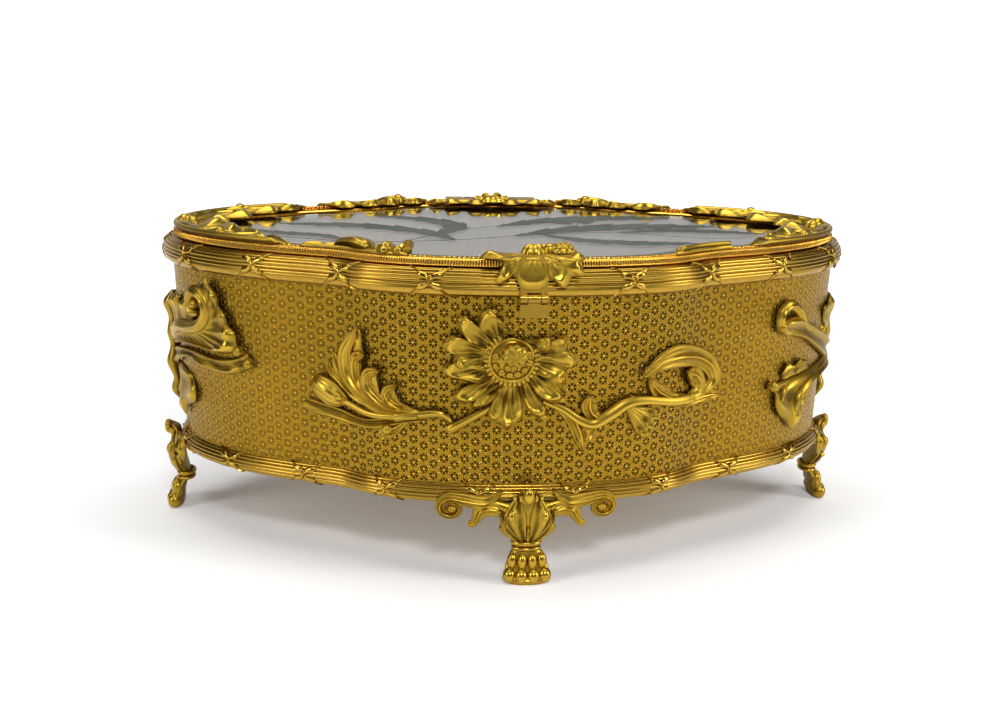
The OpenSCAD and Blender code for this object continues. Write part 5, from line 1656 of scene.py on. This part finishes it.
# Leg: out from the bead, height, half width, half depth, tilt in degrees
LEG = [
    [5.8, 30.6, 1.2, 0.5, 100], [4.8, 33.0, 2.2, 1.0, 50], [2.2, 31.0, 3.8, 1.3, -20],
    [2.0, 26, 7.0, 1.7, -10], [1.8, 21.5, 8.8, 2.2, 0], [1.0, 17.2, 7.4, 2.5, 8],
    [-0.4, 13.8, 4.6, 2.3, 10], [-0.6, 11.6, 4.4, 2.3, 5], [0.6, 9.2, 6.0, 2.7, -25],
    [2.2, 5.4, 7.4, 3.0, -35], [3.2, 2.2, 7.6, 3.2, -15], [3.3, 0.05, 6.4, 2.6, 0]
]
LEG_STEPS = 8
KNEE_ROWS = slice(12, 49)
TIP = ([0, 0.2, 0.45, 0.65, 0.8, 0.92, 1], [0.7, 0.85, 1, 0.72, 0.5, 0.42, 0.2])
ARM = ([0, 0.06, 0.16, 0.3, 0.5, 0.8, 1], [0.06, 0.5, 0.95, 1, 0.8, 0.62, 0.5])


def ellipsoid(shells, place, centre, radii, rows=16, columns=20):
    """Rounded lump: rings between two poles that lie above and below."""
    lat = np.radians(np.linspace(-80, 80, rows))[:, None]
    a = full_turn(columns)[None, :]
    x = centre[0] + radii[0] * np.cos(lat) * np.cos(a)
    u = centre[1] + radii[1] * np.cos(lat) * np.sin(a)
    z = centre[2] + radii[2] * np.sin(lat) + 0 * a
    # Painted light: the side facing out from the box lighter, the side towards it darker
    shells.loft(place(x, u, z), np.clip(0.55 + 0.3 * np.sin(a) * np.cos(lat), 0, 1))


def knee_leaves(shells, place, knee):
    """Two pairs of leaves over the knee, with balls beside them and a row of beads up the middle."""

    def on_knee(x, z, h):
        out, wide, deep = (np.interp(z, knee[:, 1], knee[:, i]) for i in (0, 2, 3))
        return place(x, out + deep * np.sqrt(np.maximum(1 - (x / wide) ** 2, 0)) + h, z)

    def lump_on_knee(x, h, z):
        return on_knee(x, z, h)

    for side in (-1, 1):
        # Outer leaf, then the inner one beside the row of beads
        near = mirrored(side, [[1.0, 13.8], [3.8, 17.2], [6.4, 20.8], [8.2, 24.6], [8.0, 27]])
        far = mirrored(
            side, [[3.6, 13.4], [7.2, 15.8], [9.8, 18.8], [9.2, 20.4], [9.4, 22.6], [8.4, 25.4]]
        )
        spread(shells, on_knee, near, far, 2.2, base=-0.4, lift=0.4, cup=0.34, lip=0.4, columns=25)
        near = mirrored(side, [[0.25, 14], [0.3, 19], [0.5, 24], [1.6, 27], [2.6, 30.4]])
        far = mirrored(side, [[1.8, 13.8], [4.4, 17.6], [6.6, 21.4], [6.8, 25], [5.0, 27.8], [4.4, 30.6]])
        spread(shells, on_knee, near, far, 2.2, base=-0.2, lift=0.3, cup=0.34, lip=0.3, columns=25)
        for x in (2.6, 4.6):
            ellipsoid(shells, lump_on_knee, (side * x, 1.0, 30.2), (0.75, 0.9, 1.2))
        ellipsoid(shells, lump_on_knee, (side * 5.9, 1.2, 24.2), (1.25, 1.2, 1.9))
    for k in range(7):
        ellipsoid(shells, lump_on_knee, (0, 0.9, 14.6 + 0.85 * k), (0.42, 0.6, 0.45), 8, 10)


def foot_wings(shells, number):
    """To each side of the knee an arm that winds into a scroll with a boss, a hooked tip and a stem."""
    middle = number * END_S

    def beside(s, z, h):
        return on_bead(middle + s, z, h)

    wing = WING_LONG if number % 2 == 0 else WING_SHORT
    eye, eye_z = wing - 4.4, 25.6
    volute = [
        [eye + 0.6 + 1.12 * r * math.cos(b), eye_z + 0.9 * r * math.sin(b)] for r, b in volute_steps()
    ]
    if number % 2 == 0:
        arm = [[8.6, 31.6], [11.2, 29.6], [0.58 * eye, 27.6], [0.8 * eye, 28.2]] + volute
    else:
        arm = [[6.0, 30.6], [8.4, 28.8]] + volute
    hook = ((0.22, 23.6), (0.38, 25.4), (0.52, 25.0), (0.57, 22.6), (0.62, 20.2), (0.68, 20.6))
    stem = [[4.5, 24.6], [0.27 * wing, 25.6], [0.42 * wing, 27.2]]
    for side in (-1, 1):
        leaf(shells, beside, mirrored(side, arm), 2.5, 3.0, ARM, reeds=1, lip=0, base=0.35, rows=130)
        dome(shells, beside, (side * (eye + 0.4), eye_z), 2.0, 1.5, 2.6, base=0.6, columns=24)
        spine = mirrored(side, [[share * wing, z] for share, z in hook])
        leaf(shells, beside, spine, 3.0, 2.8, TIP, reeds=1, lip=0.2, hollow=0.2, base=0.3)
        tube(shells, beside, mirrored(side, stem), 2.0, ([0, 1], [1.3, 0.8]), rise=0.55, base=-0.6)


def paw_foot(shells, number):
    """Paw foot: shin and knee with leaves, a rolled tip, four toes, an ankle ring and two scrolls."""
    place = foot_place(number)
    line, _ = smooth_line(LEG, LEG_STEPS)
    a = full_turn(48)[None, :]
    u, z, half, deep, tilt = (line[:, k : k + 1] for k in range(5))
    out = deep * np.sin(a)
    tilt = np.radians(tilt)
    leg = place(half * np.cos(a), u + out * np.cos(tilt), np.maximum(z + out * np.sin(tilt), 0))
    # Painted light: the front of the leg lighter than its back
    shells.loft(leg, 0.4 + 0.2 * np.sin(a))
    knee_leaves(shells, place, line[KNEE_ROWS][::-1])
    ellipsoid(shells, place, (0, 5.4, 31.4), (1.8, 1.5, 2.8))
    # Toes: a pad on the floor and a knuckle above it, set back towards the sides
    for x in (-6.0, -2.05, 2.05, 6.0):
        back = 0.03 * x * x
        ellipsoid(shells, place, (x, 4.4 - back, 2.7), (2.3, 2.55, 2.7), 24, 28)
        ellipsoid(shells, place, (x * 0.84, 3.1 - back, 7.2), (1.8, 2.1, 3.2), 24, 28)
    # Ankle ring and the smaller bead under it: circles carried round the shin
    around, section = full_turn(56)[:, None], full_turn(14)[None, :]
    for z, wide, deep, radius in ((13.3, 4.5, 2.9, 0.9), (11.3, 4.4, 2.8, 0.75)):
        x = wide * (1 + radius * np.cos(section) / wide) * np.cos(around)
        u = -0.8 + (deep + radius * np.cos(section)) * np.sin(around)
        grid = place(x, u, z + radius * np.sin(section) + 0 * around)
        # Painted light: the outer side of each bead lighter, the side against the shin darker
        shells.ring(grid, 0.4 + 0.4 * np.cos(section) + 0 * around)
    # Tongue under the base moulding
    corners = np.array([(-5, 2.4), (5, 2.4), (5, -11.2), (-5, -11.2)])
    levels = np.array([24.3, FOOT_H - 0.05])[:, None]
    shells.loft(place(corners[:, 0] + 0 * levels, corners[:, 1] + 0 * levels, levels), 0.3)
    foot_wings(shells, number)


def volute_steps(radius=3.9, turns=1.1, count=14, left=1.5):
    """Radius and angle along the scroll: it winds in from the top by the same share at each step."""
    share = [k / (count - 1) for k in range(count)]
    return [(radius + (left - radius) * f, math.radians(90 - 360 * turns * f)) for f in share]


class CASKET_OT_feet(Operator):
    """Build the four paw feet with their scrolls"""

    bl_idname = "casket.feet"
    bl_label = "Feet"

    def execute(self, context):
        for number, name in enumerate(("front_foot", "right_foot", "back_foot", "left_foot")):
            shells = Shells()
            paw_foot(shells, number)
            add_shells("cast_" + name, shells, FINISH["cast"], "box", "cast_gilding", name)
        return {"FINISHED"}


CLASP_TOP = 111.35
CLASP_FRONT = -88.05
CLASP_LIMIT = -89.45


def on_clasp(x, v, h):
    """Place on the clasp's fold: v inboard over the lid where it is above 0, down the front below.
    The corner is rounded by the square root blend of a line into its own length. Beside the strap the
    fold lies nearer to the rim; before the strap its relief is flatter."""
    corner, strap_half, clear, set_back, flatter = 3.5, 4.8, 7.0, 0.95, 0.4
    soft = np.sqrt(v * v + corner)
    inboard, down = 0.5 * (soft + v), 0.5 * (v - soft)
    lean = 0.5 * math.pi * smooth_step(v, 3.0, -5.0)
    beside = smooth_step(np.abs(x), strap_half, clear)
    front = CLASP_FRONT + set_back * beside * smooth_step(v, 0, -2)
    h = h * (1 - flatter * (1 - beside) * smooth_step(v, 1, -2))
    y = front + inboard - h * np.sin(lean)
    z = np.minimum(CLASP_TOP + down + h * np.cos(lean), HIGHEST)
    return stack(x, y + np.maximum(CLASP_LIMIT - y, 0), z)


class CASKET_OT_clasp(Operator):
    """Build the leaf over the clasp with its hanging lobes and its scaly bud"""

    bl_idname = "casket.clasp"
    bl_label = "Clasp leaf"

    def execute(self, context):
        shells = Shells()
        near = [[-2.4, 8.4], [-2.2, 6.4], [-1, 5.2], [0.6, 5.2], [2.2, 6.0], [2.8, 8.0]]
        far = [
            [-8, 9.8], [-15.4, 8.2], [-18.3, 4.6], [-16.6, 1.6], [-10.4, 1.6], [-9, -1.6], [-13.8, -5.8],
            [-12, -9.2], [-8.2, -7.4], [-6.2, -3.6]
        ]
        far += [
            [-5.6, -8.6], [-3.0, -10.8], [-0.8, -8.8], [1.6, -10.8], [4.4, -8.4], [5.2, -4.4],
            [7.4, -9.4], [10, -10.8], [11.8, -7.4], [11.4, -4]
        ]
        far += [[15.8, -6.8], [17.4, -3.6], [13, -0.6], [16.4, 0.8], [18.2, 3.6], [14.6, 6.4], [9, 8.8]]
        form = dict(
            cup=0.16, ridge=0.35, lip=0.55, lip_at=0.84, lip_width=0.09, veins=24, rows=220, columns=45
        )
        spread(shells, on_clasp, near, far, 2.1, base=0.1, lift=0, **form)
        dome(shells, on_clasp, (0.4, 8.2), 4.2, 3.4, 3.7, pleats=9, depth=0.1, base=0.1)
        dome(shells, on_clasp, (5.6, 7.4), 2.4, 2.2, 3.6, base=0.6, columns=24)
        dome(shells, on_clasp, (4.2, 10.6), 2.6, 2.0, 3.4, base=0.2, columns=24)
        bud_x, bud_v, half_a, half_b = 9.9, 8.2, 3.9, 3.6
        dome(shells, on_clasp, (bud_x, bud_v), half_a, half_b, 3.2, base=1.0, columns=36)
        # Scales: small domes in rings that lie on the bud
        for ring, count in ((0.2, 4), (0.5, 9), (0.78, 13), (0.98, 16)):
            for k in range(count):
                turn = 2 * math.pi * (k + 0.5 * (count % 2)) / count
                centre = (bud_x + half_a * ring * math.cos(turn), bud_v + half_b * ring * math.sin(turn))
                base = 0.95 + 3.1 * math.sqrt(1 - ring**2)
                dome(shells, on_clasp, centre, 0.8, 0.75, 0.6, base=base, rows=5, columns=9)
        add_shells("cast_clasp_leaf", shells, FINISH["cast"], "lid", "cast_gilding", "clasp_leaf")
        return {"FINISHED"}


class CASKET_OT_lining(Operator):
    """Build the silk lining of the wall with its upright folds"""

    bl_idname = "casket.lining"
    bl_label = "Lining"

    def execute(self, context):
        low, high, ground, fold_deep, folds, rows = 32.9, 102.1, LINING_OFF - 1.25, 0.17, 132, 26
        k = np.linspace(0, 1, rows)
        # Section: down the back, a rounded hem, up the folded face, and a rolled top edge
        back = np.array([[LINING_OFF, high - 0.8], [LINING_OFF, low + 0.3]])
        face = np.stack([np.full(rows, ground), low + 0.25 + (high - low - 1.1) * k], axis=1)
        roll = ((LINING_OFF - 1.3, high - 0.4), (LINING_OFF - 0.9, high), (LINING_OFF - 0.3, high - 0.1))
        profile = np.concatenate([back, face, roll])
        shape = np.zeros(len(profile))
        shape[len(back) : len(back) + rows] = 0.35 + 0.65 * np.sin(math.pi * k) ** 0.5

        def gather(s, off, z):
            """Folds: a wave round the box that drifts and swells a little on its way up."""
            turn = 2 * math.pi * s / (2 * HALF_GIRTH)
            drift = 0.9 * np.sin(7 * turn + z / 24) + 0.5 * np.sin(19 * turn - z / 15)
            wave = np.cos(folds * turn + drift) * (0.75 + 0.25 * np.sin(11 * turn + z / 19))
            return off - fold_deep * shape[None, :] * (1 + wave), z

        shells = Shells()
        shells.ring(moulding(profile, folds * 8, gather))
        add_shells("silk_lining", shells, FINISH["silk"], "box", "silk", "lining")
        return {"FINISHED"}


CUSHION_LOW = 33.3
CUSHION_EDGE = -15.0
CUSHION_TALL = 8.8
SWELL_CAP = 3.0
SWELL_STEPS = 20
SWELL_PRESSURE = 4.0
SWELL_VOXEL = 0.004

# Rings of the cushion: distance in from the edge, share towards the middle, share of the height
CUSHION_RINGS = (
    (2.4, 1, 0), (0.6, 1, 0.12), (0, 1, 0.38), (0.7, 1, 0.62), (2.6, 1, 0.8), (2.6, 0.85, 0.9),
    (2.6, 0.5, 0.97), (2.6, 0.2, 1)
)


def point_places(mesh):
    places = np.zeros(len(mesh.vertices) * 3, np.float32)
    mesh.vertices.foreach_get("co", places)
    return places.reshape(-1, 3)


def swelled(context, piece):
    """Swell a pad as cloth under pressure: even faces, twenty steps, and a cap on how far a point goes."""
    context.view_layer.objects.active = piece
    piece.select_set(True)
    even = piece.modifiers.new("even", "REMESH")
    even.mode = "VOXEL"
    even.voxel_size = SWELL_VOXEL
    bpy.ops.object.modifier_apply(modifier="even")
    start = point_places(piece.data)
    cloth = piece.modifiers.new("cloth", "CLOTH")
    cloth.settings.use_pressure = True
    cloth.settings.uniform_pressure_force = SWELL_PRESSURE
    cloth.settings.effector_weights.gravity = 0.0
    cloth.point_cache.frame_start = 1
    cloth.point_cache.frame_end = SWELL_STEPS
    for frame_number in range(1, SWELL_STEPS + 1):
        context.scene.frame_set(frame_number)
    bpy.ops.object.modifier_apply(modifier="cloth")
    context.scene.frame_set(1)
    step = point_places(piece.data) - start
    far = np.linalg.norm(step, axis=1, keepdims=True)
    done = start + step * np.minimum(1, SWELL_CAP * MM / np.maximum(far, 1e-9))
    done[:, 2] = np.clip(done[:, 2], CUSHION_LOW * MM, (CUSHION_LOW + CUSHION_TALL) * MM)
    piece.data.vertices.foreach_set("co", done.reshape(-1))
    piece.data.update()


class CASKET_OT_cushion(Operator):
    """Build the silk cushion: a crowned pad swelled as cloth, and a cord round its edge"""

    bl_idname = "casket.cushion"
    bl_label = "Cushion"

    def execute(self, context):
        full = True
        edge = CUSHION_EDGE - (SWELL_CAP + 0.3 if full else 0.0)
        tall = CUSHION_TALL - (SWELL_CAP if full else 0)
        turn = turn_at(round_box(160))
        rings = [
            stack(*(share * p for p in plan(turn, edge - inward)), CUSHION_LOW + tall * up) for inward,
            share, up in CUSHION_RINGS
        ]
        shells = Shells()
        shells.loft(np.stack(rings))
        piece = add_shells("silk_cushion", shells, FINISH["silk"], "box", "silk", "cushion")
        if full:
            swelled(context, piece)
        smooth = piece.modifiers.new("smooth", "SUBSURF")
        smooth.levels = smooth.render_levels = 1
        piece.data.polygons.foreach_set("use_smooth", np.ones(len(piece.data.polygons), bool))
        # Cord: two strands wound round one another along the edge
        winds, steps, thick, twist, sunk, height = 210, 8, 0.52, 0.22, 0.9, 0.42 * CUSHION_TALL
        s = round_box(winds * steps)[:, None]
        a = full_turn(10)[None, :]
        radius = thick * (1 + twist * np.cos(2 * a + 2 * math.pi * winds * s / (2 * HALF_GIRTH)))
        x, y = plan(turn_at(s), CUSHION_EDGE - sunk + radius * np.cos(a))
        shells = Shells()
        shells.ring(stack(x, y, CUSHION_LOW + height + radius * np.sin(a)))
        add_shells("cushion_cord", shells, FINISH["silk"], "box", "silk")
        return {"FINISHED"}


# The frame's own small parts, by finish
SMALL_PARTS = (
    ("plain", "bottom_plate hinge_body_leaf hinge_lid_leaf glass_retainer clasp_strap clasp_flap"),
    ("steel", "foot_studs foot_nuts mount_studs mount_nuts hinge_body_screws hinge_lid_screws"),
    ("steel", "hinge_pin clasp_nib clasp_pin"),
    ("board", "cushion_board"),
)


class CASKET_OT_plain_parts(Operator):
    """Give the frame's own small parts their finishes"""

    bl_idname = "casket.plain_parts"
    bl_label = "Small parts"

    def execute(self, context):
        for finish, nodes in SMALL_PARTS:
            for node in nodes.split():
                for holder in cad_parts[node].material_slots:
                    holder.material = FINISH[finish]
        return {"FINISHED"}


class CASKET_PT_panel(Panel):
    """Lists the steps in the sidebar"""

    bl_idname = "CASKET_PT_panel"
    bl_label = "Casket"
    bl_space_type = "VIEW_3D"
    bl_region_type = "UI"
    bl_category = "Casket"

    def draw(self, context):
        for step in STEPS:
            self.layout.operator(step.bl_idname)


STEPS = (
    CASKET_OT_stage, CASKET_OT_wall, CASKET_OT_mouldings, CASKET_OT_lid_frame, CASKET_OT_glass,
    CASKET_OT_wall_mounts, CASKET_OT_lid_mounts, CASKET_OT_feet, CASKET_OT_clasp, CASKET_OT_lining,
    CASKET_OT_cushion, CASKET_OT_plain_parts
)
CLASSES = (CasketSizes, CasketColours, *STEPS, CASKET_PT_panel)


def register():
    for item in CLASSES:
        bpy.utils.register_class(item)
    bpy.types.Scene.casket_sizes = PointerProperty(type=CasketSizes)
    bpy.types.Scene.casket_colours = PointerProperty(type=CasketColours)


def unregister():
    del bpy.types.Scene.casket_colours
    del bpy.types.Scene.casket_sizes
    for item in reversed(CLASSES):
        bpy.utils.unregister_class(item)


def main():
    register()
    bpy.ops.casket.stage()
    bpy.ops.casket.wall()
    bpy.ops.casket.mouldings()
    bpy.ops.casket.lid_frame()
    bpy.ops.casket.glass()
    bpy.ops.casket.wall_mounts()
    bpy.ops.casket.lid_mounts()
    bpy.ops.casket.feet()
    bpy.ops.casket.clasp()
    bpy.ops.casket.lining()
    bpy.ops.casket.cushion()
    bpy.ops.casket.plain_parts()


if __name__ == "__main__":
    main()
